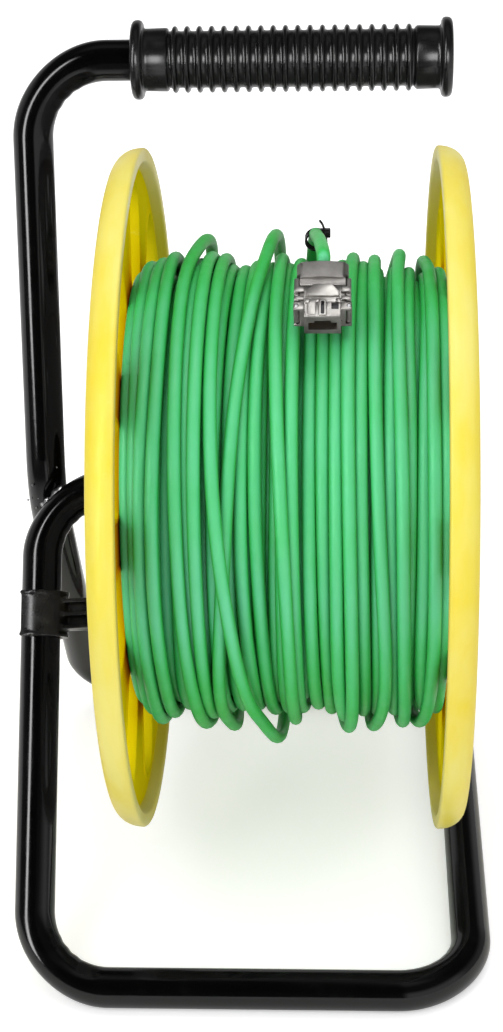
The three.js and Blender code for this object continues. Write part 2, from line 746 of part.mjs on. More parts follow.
// The jack's own axes are X across, Y towards the port and Z away from what it lies on.
function jackHousing() {
  const w = JACK_WIDTH / 2;
  const n = JACK_NOSE_WIDTH / 2;
  const t = JACK_THICKNESS / 2;
  const body = block([-w, JACK_REAR_Y, -t], [w, JACK_SHOULDER_Y, t]);
  const nose = block([-n, JACK_SHOULDER_Y - 1, -t], [n, JACK_NOSE_Y, t]);
  const latch = block(
    [-LATCH_WIDTH / 2, JACK_REAR_Y, t - LATCH_HEIGHT],
    [LATCH_WIDTH / 2, LATCH_END_Y, t + LATCH_HEIGHT],
  );
  const earOut = w + WING_THICKNESS + 2 * GAP;
  const earLow = WING_HEIGHT / 2 + GAP;
  const earSides = [[-earOut, -n], [n, earOut]];
  const ears = earSides.flatMap(([x0, x1]) => [
    block([x0, WING_PIN_Y - EAR_HALF, earLow], [x1, WING_PIN_Y + EAR_HALF, t]),
    block([x0, WING_PIN_Y - EAR_HALF, -t], [x1, WING_PIN_Y + EAR_HALF, -earLow]),
  ]);
  const port = block(
    [-PORT_WIDTH / 2, JACK_NOSE_Y - PORT_DEPTH, -PORT_HEIGHT / 2],
    [PORT_WIDTH / 2, JACK_NOSE_Y + 1, PORT_HEIGHT / 2],
  );
  const wireWay = block(
    [-WIRE_WAY_WIDTH / 2, JACK_REAR_Y - 1, -WIRE_WAY_HEIGHT / 2],
    [WIRE_WAY_WIDTH / 2, JACK_NOSE_Y - PORT_DEPTH + 1, WIRE_WAY_HEIGHT / 2],
  );
  const pinHoles = [-1, 1].map((side) =>
    rodZ(-t - 1, t + 1, WING_PIN_R + GAP, SMALL_FACETS).translate(side * wingPinX(), WING_PIN_Y, 0),
  );
  return carve(body, { add: [nose, latch, ...ears], cut: [port, wireWay, ...pinHoles] });
}

// The contact carrier fills the bottom of the port and leaves room for a plug.
function jackInsert() {
  const w = PORT_WIDTH / 2 - GAP;
  const h = PORT_HEIGHT / 2 - GAP;
  const y0 = JACK_NOSE_Y - PORT_DEPTH + GAP;
  const back = block([-w, y0, -h], [w, y0 + CARRIER_DEPTH, h]);
  const contacts = block([1 - w, y0 + 1, -h], [w - 1, y0 + CONTACT_LENGTH, CONTACT_THICKNESS - h]);
  return carve(back, { add: [contacts] });
}

// The rear cap closes round the cable.
function jackRearCap() {
  const w = JACK_CAP_WIDTH / 2;
  const t = JACK_THICKNESS / 2 + CAP_OVERLAP;
  const outline = new THREE.Shape();
  outline.moveTo(-w, -t);
  outline.lineTo(w, -t);
  outline.lineTo(w, t - CAP_CORNER);
  outline.quadraticCurveTo(w - CAP_CORNER, t, 0, t + CAP_OVERLAP);
  outline.quadraticCurveTo(CAP_CORNER - w, t, -w, t - CAP_CORNER);
  const y1 = JACK_REAR_Y - GAP;
  const cap = new THREE.ExtrudeGeometry(outline, {
    depth: y1 - JACK_CAP_Y,
    curveSegments: 3,
    bevelEnabled: false,
  });
  cap.rotateX(Math.PI / 2).translate(0, y1, 0);
  const holeEnd = JACK_CAP_Y + CABLE_IN_JACK + 1;
  const cableHole = rodY(JACK_CAP_Y - 1, holeEnd, CABLE_R + 2 * GAP, SMALL_FACETS);
  const roomHeight = WING_HEIGHT / 2 + GAP;
  const wingRoom = [-1, 1].map((side) => {
    const x = side * (JACK_WIDTH / 2 + WING_THICKNESS);
    const low = [x - WING_THICKNESS, WING_REAR_Y - 2 * GAP, -roomHeight];
    return block(low, [x + WING_THICKNESS, 0, roomHeight]);
  });
  return carve(cap, { cut: [cableHole, ...wingRoom] });
}

// A side wing, about its own pin: the plate runs back from the knuckle.
function jackWing() {
  const h = WING_HEIGHT / 2;
  const t = WING_THICKNESS / 2;
  const plate = block([-t, WING_REAR_Y - WING_PIN_Y, -h], [t, 0, h]);
  const knuckle = rodZ(-h, h, WING_KNUCKLE_R, SMALL_FACETS);
  const bore = rodZ(-h - 1, h + 1, WING_PIN_R + WING_PIN_GAP, SMALL_FACETS);
  return carve(knuckle, { add: [plate], cut: [bore] });
}

function jackPin() {
  const t = JACK_THICKNESS / 2;
  return rodZ(-t, t, WING_PIN_R, PIN_FACETS);
}

// Left and right are as seen when looking into the port.
function jack(prefix) {
  const group = new THREE.Group();
  group.add(named(prefix + "_jack_housing", jackHousing(), NICKEL));
  group.add(named(prefix + "_jack_insert", jackInsert(), GREY_PLASTIC));
  group.add(named(prefix + "_jack_rear_cap", jackRearCap(), NICKEL));
  for (const [word, side] of [["left", 1], ["right", -1]]) {
    const wing = named(prefix + "_jack_wing_" + word, jackWing(), NICKEL);
    const pin = named(prefix + "_jack_pin_" + word, jackPin(), STEEL);
    for (const piece of [wing, pin]) {
      piece.position.set(side * wingPinX(), WING_PIN_Y, 0);
      group.add(piece);
    }
  }
  return group;
}

// The free jack lies on the winding with its port towards the front.
function outerJack() {
  const free = jack("outer");
  free.rotation.set(rad(OUTER_JACK_LEAN_DEG), 0, Math.PI);
  free.position.set(...drumPoint(OUTER_JACK_X, OUTER_JACK_R, OUTER_JACK_DEG));
  return free;
}

// The fixed jack is snapped into the web of the right flange, above the axle, with its port outwards.
function innerJack() {
  const fixed = jack("inner");
  fixed.rotation.set(0, 0, -Math.PI / 2);
  fixed.position.set(...drumPoint(INNER_JACK_X, INNER_JACK_R, 0));
  return fixed;
}

// ---------------------------------------------------------------- assembly

function drum() {
  const group = new THREE.Group();
  group.add(drumBarrel());
  for (const [word, side] of [["left", -1], ["right", 1]]) {
    group.add(flange(word + "_flange", side));
    group.add(bush(word + "_bush", side));
    for (let i = 0; i < SCREW_COUNT; i++) {
      group.add(flangeScrew(word + "_flange_screw_" + (i + 1), side, i));
    }
  }
  group.add(hubCap(), cableWinding(), innerLead(), outerTail(), outerJack(), innerJack());
  return group;
}

function axleEnd() {
  const group = new THREE.Group();
  group.add(axleInsert(), axleWasher(), axleBolt());
  return group;
}

const reel = new THREE.Group();
reel.add(frameTube(), handleGrip(), hubBracket());
for (const assembly of [drum(), axleEnd()]) {
  assembly.position.set(DRUM_X, 0, AXLE_Z);
  reel.add(assembly);
}

export default reel;
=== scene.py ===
"""Looks for the network cable reel: a yellow flanged drum of green cable on one bent black steel tube.

Lengths are millimetres inside the shape functions and become metres when a mesh is made.
Angles round the drum are degrees from straight up towards the front (the -Y side).
"""

import json
import math

import bmesh
import bpy
import numpy as np
from mathutils import Matrix, Vector

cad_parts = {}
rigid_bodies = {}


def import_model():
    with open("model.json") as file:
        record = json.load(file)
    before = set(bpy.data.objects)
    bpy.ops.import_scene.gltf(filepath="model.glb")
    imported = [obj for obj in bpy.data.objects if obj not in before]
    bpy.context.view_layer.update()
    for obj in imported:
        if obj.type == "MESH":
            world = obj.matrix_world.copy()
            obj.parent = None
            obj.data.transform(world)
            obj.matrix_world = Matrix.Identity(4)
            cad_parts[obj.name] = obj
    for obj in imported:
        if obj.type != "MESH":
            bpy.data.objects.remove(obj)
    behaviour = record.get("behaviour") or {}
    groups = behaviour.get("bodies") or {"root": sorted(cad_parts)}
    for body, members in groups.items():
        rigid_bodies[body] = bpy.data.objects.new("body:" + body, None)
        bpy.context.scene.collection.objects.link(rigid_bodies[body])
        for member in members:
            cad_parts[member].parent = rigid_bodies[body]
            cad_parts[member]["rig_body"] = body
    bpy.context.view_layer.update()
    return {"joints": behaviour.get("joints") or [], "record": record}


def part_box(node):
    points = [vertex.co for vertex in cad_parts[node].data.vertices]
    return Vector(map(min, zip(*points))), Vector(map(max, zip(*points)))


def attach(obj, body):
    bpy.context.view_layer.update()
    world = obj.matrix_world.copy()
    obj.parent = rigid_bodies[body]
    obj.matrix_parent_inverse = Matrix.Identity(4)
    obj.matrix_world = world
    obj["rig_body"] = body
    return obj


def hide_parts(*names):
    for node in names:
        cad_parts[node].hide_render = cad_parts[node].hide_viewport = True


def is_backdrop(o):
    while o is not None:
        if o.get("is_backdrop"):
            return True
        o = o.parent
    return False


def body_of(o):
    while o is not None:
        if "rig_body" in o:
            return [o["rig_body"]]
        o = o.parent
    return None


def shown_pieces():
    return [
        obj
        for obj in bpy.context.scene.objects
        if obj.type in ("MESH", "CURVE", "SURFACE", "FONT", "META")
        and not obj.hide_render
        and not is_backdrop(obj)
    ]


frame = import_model()

MM = 0.001
SEED = 11


# ---------------------------------------------------------------- places taken from the frame

def low_high(node):
    low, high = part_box(node)
    return np.array(low) / MM, np.array(high) / MM


JOINTS = {joint["name"]: joint for joint in frame["joints"]}
AXLE = np.array(JOINTS["drum_spin"]["pos_m"]) / MM
MOUNTS = {mount["name"]: np.array(mount["pos_m"]) / MM for mount in frame["record"]["mounts"]}
GRIP_LOW, GRIP_HIGH = low_high("handle_grip")
GRIP_MIDDLE = (GRIP_LOW + GRIP_HIGH) / 2
GRIP_LENGTH = GRIP_HIGH[0] - GRIP_LOW[0]
FLANGE_HIGH = low_high("right_flange")[1]
FLANGE_R = round(FLANGE_HIGH[2] - AXLE[2], 1)
FLANGE_OUTER_X = FLANGE_HIGH[0] - AXLE[0]
WINDING_LOW, WINDING_HIGH = low_high("cable_winding")
WINDING_HALF = (WINDING_HIGH[0] - WINDING_LOW[0]) / 2
BARREL_R = (low_high("drum_barrel")[1] - low_high("drum_barrel")[0])[2] / 2

# Sizes that the shapes below share with the design
TUBE_R = 9.0
TUBE_WALL = 1.5
TUBE_BEND_R = 34.0
ARCH_BEND_R = 32.0
KINK_BEND_R = 50.0
KINK_Z = 177.0
KINK_Y = 6.8
SIDE_X = 98.5
FLANGE_INNER_X = 65.0
CABLE_R = 2.9
CLEAR = 0.3
INNER_JACK_R = 42.0
PIN_Y = 8.0


# ---------------------------------------------------------------- meshes

def new_object(name, verts, faces, origin=(0, 0, 0)):
    """A mesh object from vertices in millimetres, moved by origin."""
    mesh = bpy.data.meshes.new(name)
    points = (np.asarray(verts, float).reshape(-1, 3) + np.asarray(origin, float)) * MM
    mesh.from_pydata(points.tolist(), [], [list(face) for face in faces])
    mesh.update()
    obj = bpy.data.objects.new(name, mesh)
    bpy.context.scene.collection.objects.link(obj)
    return obj


def facing_out(obj):
    """Makes every face point out of its closed shell."""
    bm = bmesh.new()
    bm.from_mesh(obj.data)
    bmesh.ops.recalc_face_normals(bm, faces=bm.faces)
    bm.to_mesh(obj.data)
    bm.free()
    return obj


def smooth(obj, degrees=35):
    """Smooth shading, with edges kept sharp where faces meet at more than an angle."""
    mesh = obj.data
    mesh.polygons.foreach_set("use_smooth", [True] * len(mesh.polygons))
    bm = bmesh.new()
    bm.from_mesh(mesh)
    for edge in bm.edges:
        edge.smooth = len(edge.link_faces) == 2 and edge.calc_face_angle(0) < math.radians(degrees)
    bm.to_mesh(mesh)
    bm.free()
    return obj


def applied(obj):
    """Replaces an object's mesh with its modified mesh."""
    graph = bpy.context.evaluated_depsgraph_get()
    graph.update()
    mesh = bpy.data.meshes.new_from_object(obj.evaluated_get(graph))
    obj.modifiers.clear()
    obj.data = mesh
    return obj


def bevelled(obj, width, segments=2, degrees=40):
    modifier = obj.modifiers.new("bevel", "BEVEL")
    modifier.width = width * MM
    modifier.segments = segments
    modifier.limit_method = "ANGLE"
    modifier.angle_limit = math.radians(degrees)
    return applied(obj)


def combined(obj, others, operation):
    """Adds, cuts away or keeps what is common with other solids, which are used up."""
    for other in others:
        modifier = obj.modifiers.new("boolean", "BOOLEAN")
        modifier.operation = operation
        modifier.solver = "EXACT"
        modifier.object = other
    applied(obj)
    for other in others:
        bpy.data.objects.remove(other)
    return obj


def cut_by(obj, cutters):
    return combined(obj, cutters, "DIFFERENCE")


def united(name, parts):
    whole = combined(parts[0], parts[1:], "UNION")
    whole.name = name
    return whole


def joined(name, objects):
    """One object that holds the meshes of several."""
    verts, faces = [], []
    for obj in objects:
        start = len(verts)
        verts += [v.co[:] for v in obj.data.vertices]
        faces += [[start + i for i in p.vertices] for p in obj.data.polygons]
        bpy.data.objects.remove(obj)
    mesh = bpy.data.meshes.new(name)
    mesh.from_pydata(verts, [], faces)
    mesh.update()
    result = bpy.data.objects.new(name, mesh)
    bpy.context.scene.collection.objects.link(result)
    return result


def fused(name, objects, voxel, passes=4):
    """One skin round several overlapping solids, with softened corners like a moulding."""
    obj = joined(name, objects)
    remesh = obj.modifiers.new("remesh", "REMESH")
    remesh.mode = "VOXEL"
    remesh.voxel_size = voxel * MM
    applied(obj)
    relax = obj.modifiers.new("relax", "SMOOTH")
    relax.factor = 0.5
    relax.iterations = passes
    applied(obj)
    return obj


def on_axle(points):
    """Puts points that are given from the middle of the axle in their place."""
    return points + AXLE


def block(low, high, transform):
    """A box between two corners, put in its place by a function of its points."""
    corners = [(x, y, z) for x in (low[0], high[0]) for y in (low[1], high[1]) for z in (low[2], high[2])]
    faces = [(0, 1, 3, 2), (4, 6, 7, 5), (0, 4, 5, 1), (2, 3, 7, 6), (0, 2, 6, 4), (1, 5, 7, 3)]
    return facing_out(new_object("block", transform(np.array(corners, float)), faces))


def prism(outline, z0, z1, transform):
    """A flat outline in x and y, made solid from z0 to z1 and put in its place."""
    n = len(outline)
    points = np.array([(x, y, z) for z in (z0, z1) for x, y in outline], float)
    faces = [tuple(range(n))[::-1], tuple(range(n, 2 * n))]
    faces += [(i, (i + 1) % n, n + (i + 1) % n, n + i) for i in range(n)]
    return facing_out(new_object("prism", transform(points), faces))


def moved(obj, transform):
    """Puts an object's points, read in millimetres, through a function."""
    points = np.array([v.co[:] for v in obj.data.vertices]) / MM
    obj.data.vertices.foreach_set("co", (transform(points) * MM).ravel())
    return obj


def fillet(points, radius, steps=4):
    """Rounds the corners of a closed outline. A point may carry its own radius as a third value."""
    out = []
    count = len(points)
    for i in range(count):
        here = np.array(points[i][:2], float)
        own = points[i][2] if len(points[i]) > 2 else radius
        before = np.array(points[i - 1][:2], float) - here
        after = np.array(points[(i + 1) % count][:2], float) - here
        len_b, len_a = np.linalg.norm(before), np.linalg.norm(after)
        before, after = before / len_b, after / len_a
        angle = math.acos(float(np.clip(before @ after, -1, 1)))
        if own < 1e-6 or angle > math.radians(175):
            out.append(tuple(here))
            continue
        reach = min(own / math.tan(angle / 2), 0.45 * len_b, 0.45 * len_a)
        real = reach * math.tan(angle / 2)
        middle = here + (before + after) / np.linalg.norm(before + after) * real / math.sin(angle / 2)
        start, end = here + before * reach - middle, here + after * reach - middle
        a0 = math.atan2(start[1], start[0])
        turn = (math.atan2(end[1], end[0]) - a0 + math.pi) % (2 * math.pi) - math.pi
        for k in range(steps + 1):
            a = a0 + turn * k / steps
            out.append((middle[0] + real * math.cos(a), middle[1] + real * math.sin(a)))
    return out


def lathe(name, section, segments, origin, side=1):
    """A closed section of (x, r) points turned round the X axis; side -1 mirrors it."""
    on_axis = [r < 1e-6 for _, r in section]
    angles = np.arange(segments) * 2 * math.pi / segments
    verts, rings = [], []
    for (x, r), axial in zip(section, on_axis):
        if axial:
            rings.append([len(verts)] * segments)
            verts.append((side * x, 0, 0))
        else:
            rings.append(list(range(len(verts), len(verts) + segments)))
            verts += [(side * x, r * math.sin(a), r * math.cos(a)) for a in angles]
    faces = []
    for i in range(len(section)):
        j = (i + 1) % len(section)
        if on_axis[i] and on_axis[j]:
            continue
        for k in range(segments):
            k2 = (k + 1) % segments
            corners = [rings[i][k], rings[j][k], rings[j][k2], rings[i][k2]]
            faces.append(list(dict.fromkeys(corners)))
    return facing_out(new_object(name, verts, faces, origin))


def unit(v):
    return v / np.linalg.norm(v, axis=-1, keepdims=True)


def smoothstep(t):
    t = np.clip(t, 0, 1)
    return t * t * (3 - 2 * t)


def ring_directions(across, up, sides):
    """Directions out of a line, for each of its points and each side of a tube round it."""
    a = np.arange(sides) * 2 * math.pi / sides
    return np.cos(a)[None, :, None] * across[:, None, :] + np.sin(a)[None, :, None] * up[:, None, :]


def end_faces(rows, columns):
    """Faces that close a grid of rows at its first and its last row."""
    return [tuple(range(columns)), tuple(range((rows - 1) * columns, rows * columns))[::-1]]


def carried_frames(points, closed=False):
    """Tangents and two normals along a line, carried on without twist."""
    if closed:
        tangents = unit(np.roll(points, -1, 0) - np.roll(points, 1, 0))
    else:
        tangents = unit(np.gradient(points, axis=0))
    normals = np.zeros_like(points)
    helper = np.eye(3)[np.argmin(np.abs(tangents[0]))]
    normals[0] = unit(np.cross(tangents[0], helper))
    for i in range(1, len(points)):
        n = normals[i - 1] - tangents[i] * (normals[i - 1] @ tangents[i])
        normals[i] = n / np.linalg.norm(n)
    return tangents, normals, np.cross(tangents, normals)


def tube_mesh(points, radii, sides):
    """Vertices and faces of a tube along open points, closed at both ends."""
    _, across, up = carried_frames(points)
    ring = ring_directions(across, up, sides)
    verts = (points[:, None, :] + ring * np.asarray(radii).reshape(-1, 1, 1)).reshape(-1, 3)
    return verts, grid_faces(len(points), sides) + end_faces(len(points), sides)


def grid_faces(rows, columns, closed_rows=False):
    """Quads between rows of a grid whose columns wrap round."""
    faces = []
    for i in range(rows if closed_rows else rows - 1):
        faces += quad_strip(i * columns, ((i + 1) % rows) * columns, columns)
    return faces


def quad_strip(first, second, count):
    """Quads between two closed rings of vertices, given by the number of each ring's first vertex."""
    return [(first + k, first + (k + 1) % count, second + (k + 1) % count, second + k) for k in range(count)]


def curve_through(points, steps):
    """A Catmull-Rom line through a few points."""
    p = np.asarray(points, float)
    p = np.vstack([2 * p[0] - p[1], p, 2 * p[-1] - p[-2]])
    out = []
    for i in range(1, len(p) - 2):
        t = np.linspace(0, 1, steps, endpoint=False)[:, None]
        out.append(0.5 * (2 * p[i] + (p[i + 1] - p[i - 1]) * t
                          + (2 * p[i - 1] - 5 * p[i] + 4 * p[i + 1] - p[i + 2]) * t ** 2
                          + (3 * p[i] - p[i - 1] - 3 * p[i + 1] + p[i + 2]) * t ** 3))
    out.append(p[-2][None, :])
    return np.vstack(out)


def drum_point(x, r, degrees):
    """A point on the drum, in the row frame."""
    a = math.radians(degrees)
    return AXLE + np.array([x, -r * math.sin(a), r * math.cos(a)])


def dress(obj, material, body, replaces=()):
    """Finish, body and the CAD nodes that a piece stands for."""
    obj.data.materials.clear()
    for m in material if isinstance(material, (list, tuple)) else [material]:
        obj.data.materials.append(m)
    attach(obj, body)
    if replaces:
        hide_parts(*replaces)
    return obj


# ---------------------------------------------------------------- materials

class Nodes:
    """A short way to write a material's node tree."""

    def __init__(self, name, world=None):
        self.material = world or bpy.data.materials.new(name)
        self.material.use_nodes = True
        self.tree = self.material.node_tree
        self.shader = self.tree.nodes.get("Principled BSDF")
        self.coordinates = self.node("ShaderNodeTexCoord")
        self.place = self.coordinates.outputs["Object"]

    def node(self, kind, **settings):
        made = self.tree.nodes.new(kind)
        for key, value in settings.items():
            setattr(made, key, value)
        return made

    def link(self, source, target):
        self.tree.links.new(source, target)

    def put(self, target, value):
        if hasattr(value, "is_linked"):
            self.link(value, target)
        else:
            target.default_value = value

    def stretched(self, scale):
        """Object coordinates, stretched."""
        mapping = self.node("ShaderNodeMapping")
        mapping.inputs["Scale"].default_value = scale
        self.link(self.place, mapping.inputs["Vector"])
        return mapping.outputs["Vector"]

    def noise(self, scale, detail=4.0, roughness=0.55, vector=None):
        made = self.node("ShaderNodeTexNoise")
        made.inputs["Scale"].default_value = scale
        made.inputs["Detail"].default_value = detail
        made.inputs["Roughness"].default_value = roughness
        self.link(vector or self.place, made.inputs["Vector"])
        return made.outputs["Fac"]

    def ramp(self, value, stops):
        """Colours or greys at positions 0 to 1."""
        made = self.node("ShaderNodeValToRGB")
        elements = made.color_ramp.elements
        while len(elements) < len(stops):
            elements.new(0.5)
        for element, (position, colour) in zip(elements, stops):
            element.position = position
            grey = isinstance(colour, (int, float))
            element.color = (colour, colour, colour, 1) if grey else (*colour, 1)
        self.link(value, made.inputs["Fac"])
        return made.outputs["Color"]

    def mix(self, factor, a, b, blend="MIX"):
        made = self.node("ShaderNodeMix", data_type="RGBA", blend_type=blend)
        self.put(made.inputs["Factor"], factor)
        self.put(made.inputs[6], a if hasattr(a, "is_linked") else (*a, 1))
        self.put(made.inputs[7], b if hasattr(b, "is_linked") else (*b, 1))
        return made.outputs[2]

    def math(self, operation, *values):
        made = self.node("ShaderNodeMath", operation=operation)
        for target, value in zip(made.inputs, values):
            self.put(target, value)
        return made.outputs[0]

    def grey_in_reflections(self, colour):
        """Plain grey where the piece is seen in another one, so that black and nickel stay neutral."""
        return self.mix(self.node("ShaderNodeLightPath").outputs["Is Glossy Ray"], colour, (0.2, 0.2, 0.2))

    def bump(self, height, strength, distance, below=None):
        made = self.node("ShaderNodeBump")
        made.inputs["Strength"].default_value = strength
        made.inputs["Distance"].default_value = distance * MM
        self.link(height, made.inputs["Height"])
        if below is not None:
            self.link(below, made.inputs["Normal"])
        return made.outputs["Normal"]

    def surface(self, **inputs):
        """Sets the shader's inputs, named with underscores, and gives the finished material."""
        for key, value in inputs.items():
            target = self.shader.inputs[key.replace("_", " ")]
            plain_colour = isinstance(value, tuple) and target.type == "RGBA"
            self.put(target, (*value, 1) if plain_colour else value)
        return self.material


def black_paint():
    """Glossy black enamel with a slight orange peel, dust and rubbed spots."""
    n = Nodes("black_paint")
    rubbed = n.ramp(n.noise(55, 6, 0.65), [(0.55, 0.0), (0.75, 1.0)])
    colour = n.mix(rubbed, (0.0014, 0.0014, 0.0015), (0.004, 0.004, 0.0042))
    rough = n.ramp(n.noise(38, 5, 0.6), [(0.3, 0.07), (0.7, 0.17)])
    peel = n.bump(n.noise(420, 2, 0.5), 0.05, 0.25)
    dust = n.ramp(n.noise(1500, 1, 0.4), [(0.7, 0.0), (0.78, 1.0)])
    return n.surface(Base_Color=colour, Roughness=rough, Normal=n.bump(dust, 0.12, 0.06, peel),
                     Specular_IOR_Level=0.4)


def black_plastic(name, dark, dusty):
    """Moulded black plastic with a soft gloss and a fine grain, greyer where it is rubbed."""
    n = Nodes(name)
    worn = n.ramp(n.noise(70, 5, 0.6), [(0.45, 0.0), (0.7, 1.0)])
    colour = n.mix(worn, (dark, dark, dark), (dusty, dusty, dusty))
    rough = n.ramp(n.noise(45, 4, 0.6), [(0.3, 0.2), (0.7, 0.3)])
    grain = n.bump(n.noise(2600, 2, 0.5), 0.18, 0.05)
    return n.surface(Base_Color=colour, Roughness=rough, Normal=grain, Specular_IOR_Level=0.5)


def yellow_plastic():
    """Bright moulded plastic: flow shades, a painted pale sheen on the rim, painted orange shade in corners
    and recesses, scuffs and dark nicks.
    """
    n = Nodes("yellow_plastic")
    flow = n.ramp(n.noise(9, 3, 0.5), [(0.3, 0.0), (0.72, 1.0)])
    colour = n.mix(flow, (0.64, 0.47, 0.002), (0.64, 0.53, 0.008))
    apart = n.node("ShaderNodeSeparateXYZ")
    n.link(n.place, apart.inputs[0])
    y, z = apart.outputs["Y"], n.math("SUBTRACT", apart.outputs["Z"], float(AXLE[2] * MM))
    radius = n.math("SQRT", n.math("ADD", n.math("MULTIPLY", y, y), n.math("MULTIPLY", z, z)))
    share = n.math("DIVIDE", radius, FLANGE_R * MM)
    # Painted sheen: the outer rim is mixed towards pale yellow by its distance from the axle and broken up by
    # noise, in place of a broad highlight
    rim = n.ramp(share, [(0.955, 0.0), (0.985, 1.0)])
    patchy = n.ramp(n.noise(11, 4, 0.6, n.stretched((3, 1, 1))), [(0.35, 0.1), (0.65, 1.0)])
    colour = n.mix(n.math("MULTIPLY", rim, patchy), colour, (0.65, 0.58, 0.14))
    # Painted shade: where ambient occlusion finds close surfaces (corners, recesses, next to the winding) the
    # colour is darkened to orange and red-brown
    shade_occlusion = n.node("ShaderNodeAmbientOcclusion", samples=4)
    shade_occlusion.inputs["Distance"].default_value = 30 * MM
    painted_shade_colour = n.ramp(shade_occlusion.outputs["AO"], [(0.12, (0.62, 0.1, 0.0)), (0.45, (0.7, 0.37, 0.0)),
                                              (0.75, (0.72, 0.52, 0.002)), (0.92, (1, 1, 1))])
    colour = n.grey_in_reflections(n.mix(1.0, colour, painted_shade_colour, "DARKEN"))
    scuffs = n.ramp(n.noise(130, 7, 0.72, n.stretched((0.35, 1, 1))), [(0.63, 0.0), (0.74, 0.4)])
    colour = n.mix(scuffs, colour, (0.72, 0.64, 0.16))
    nicks = n.ramp(n.noise(95, 9, 0.8, n.stretched((1.6, 1, 0.6))), [(0.735, 0.0), (0.765, 0.6)])
    colour = n.mix(nicks, colour, (0.16, 0.11, 0.02))
    rough = n.ramp(n.noise(26, 6, 0.65), [(0.3, 0.3), (0.75, 0.46)])
    ripple = n.bump(n.noise(34, 2, 0.4), 0.06, 0.6)
    grain = n.bump(n.noise(1800, 2, 0.5), 0.1, 0.05, ripple)
    gloss = n.ramp(share, [(0.945, 0.0), (0.965, 0.3)])
    return n.surface(Base_Color=colour, Roughness=rough, Normal=grain, Specular_IOR_Level=gloss)


def green_cable():
    """Soft matt jacket: each turn has its own tone, with a painted pale highlight where each strand faces the
    camera, and fine drawing.
    """
    n = Nodes("green_cable")
    tone = n.node("ShaderNodeAttribute", attribute_name="tone").outputs["Fac"]
    colour = n.ramp(tone, [(0.0, (0.006, 0.36, 0.015)), (1.0, (0.03, 0.48, 0.1))])
    # Painted highlight: where the jacket faces the camera it is mixed towards a paler bluish green, broken up
    # by noise
    facing = n.node("ShaderNodeLayerWeight").outputs["Facing"]
    painted_crown_highlight = n.ramp(facing, [(0.2, 0.9), (0.62, 0.0)])
    patchy = n.ramp(n.noise(11, 4, 0.6), [(0.3, 0.35), (0.7, 1.0)])
    colour = n.mix(n.math("MULTIPLY", painted_crown_highlight, patchy), colour, (0.1, 0.5, 0.27))
    rubbed = n.ramp(n.noise(60, 6, 0.65), [(0.45, 0.0), (0.8, 0.35)])
    colour = n.grey_in_reflections(n.mix(rubbed, colour, (0.09, 0.48, 0.22)))
    rough = n.ramp(n.noise(90, 5, 0.6), [(0.3, 0.4), (0.7, 0.56)])
    wrinkle = n.bump(n.noise(240, 4, 0.55), 0.12, 0.3)
    grain = n.bump(n.noise(2400, 2, 0.5), 0.12, 0.05, wrinkle)
    return n.surface(Base_Color=colour, Roughness=rough, Normal=grain, Specular_IOR_Level=0.5)


def nickel(name, rough_low, rough_high, colour):
    """Nickel-plated die casting: small dents, sand-like skin and finger marks."""
    n = Nodes(name)
    cloud = n.ramp(n.noise(160, 5, 0.65), [(0.3, 0.0), (0.7, 1.0)])
    tint = n.mix(cloud, colour, tuple(0.72 * c for c in colour))
    rough = n.ramp(n.noise(220, 5, 0.6), [(0.3, rough_low), (0.7, rough_high)])
    skin = n.bump(n.noise(900, 3, 0.6), 0.25, 0.08)
    return n.surface(Base_Color=tint, Metallic=1.0, Roughness=rough,
                     Normal=n.bump(n.noise(170, 2, 0.5), 0.2, 0.15, skin))


def zinc_steel():
    """Zinc-plated steel, brushed and cloudy."""
    n = Nodes("zinc_steel")
    cloud = n.ramp(n.noise(120, 5, 0.6), [(0.3, 0.0), (0.7, 1.0)])
    tint = n.mix(cloud, (0.62, 0.62, 0.63), (0.48, 0.49, 0.5))
    rough = n.ramp(n.noise(300, 4, 0.6), [(0.3, 0.24), (0.7, 0.42)])
    brushed = n.bump(n.noise(900, 3, 0.6, n.stretched((1, 0.15, 1))), 0.15, 0.05)
    return n.surface(Base_Color=tint, Metallic=1.0, Roughness=rough, Normal=brushed)


def plain_plastic(name, dark, light, rough_low, rough_high):
    """Moulded plastic with a cloudy tone and a fine grain."""
    n = Nodes(name)
    cloud = n.ramp(n.noise(140, 5, 0.6), [(0.35, 0.0), (0.7, 1.0)])
    rough = n.ramp(n.noise(80, 4, 0.6), [(0.3, rough_low), (0.7, rough_high)])
    grain = n.bump(n.noise(2200, 2, 0.5), 0.15, 0.05)
    return n.surface(Base_Color=n.mix(cloud, dark, light), Roughness=rough, Normal=grain)


def gold():
    """Gold-plated contact wire."""
    n = Nodes("gold_contact")
    rough = n.ramp(n.noise(500, 3, 0.6), [(0.3, 0.18), (0.7, 0.32)])
    tint = n.mix(n.noise(260, 3, 0.5), (0.9, 0.62, 0.2), (0.75, 0.5, 0.14))
    return n.surface(Base_Color=tint, Metallic=1.0, Roughness=rough)


PAINT = black_paint()
PLASTIC = black_plastic("black_plastic", 0.003, 0.006)
CLIP_PLASTIC = black_plastic("clip_plastic", 0.004, 0.022)
YELLOW = yellow_plastic()
CABLE = green_cable()
NICKEL = nickel("nickel", 0.26, 0.42, (0.56, 0.54, 0.51))
NICKEL_CAST = nickel("nickel_cast", 0.42, 0.56, (0.5, 0.48, 0.46))
WELD = nickel("weld", 0.2, 0.45, (0.3, 0.3, 0.3))
STEEL = zinc_steel()
CARRIER = plain_plastic("contact_carrier", (0.02, 0.02, 0.022), (0.05, 0.05, 0.055), 0.35, 0.5)
ACETAL = plain_plastic("acetal", (0.72, 0.7, 0.63), (0.8, 0.78, 0.72), 0.35, 0.5)
GOLD = gold()


# ---------------------------------------------------------------- bent tube

# How far into a bend, as a share of it, the tube has its full flattening
FLATTENS_OVER = 0.5


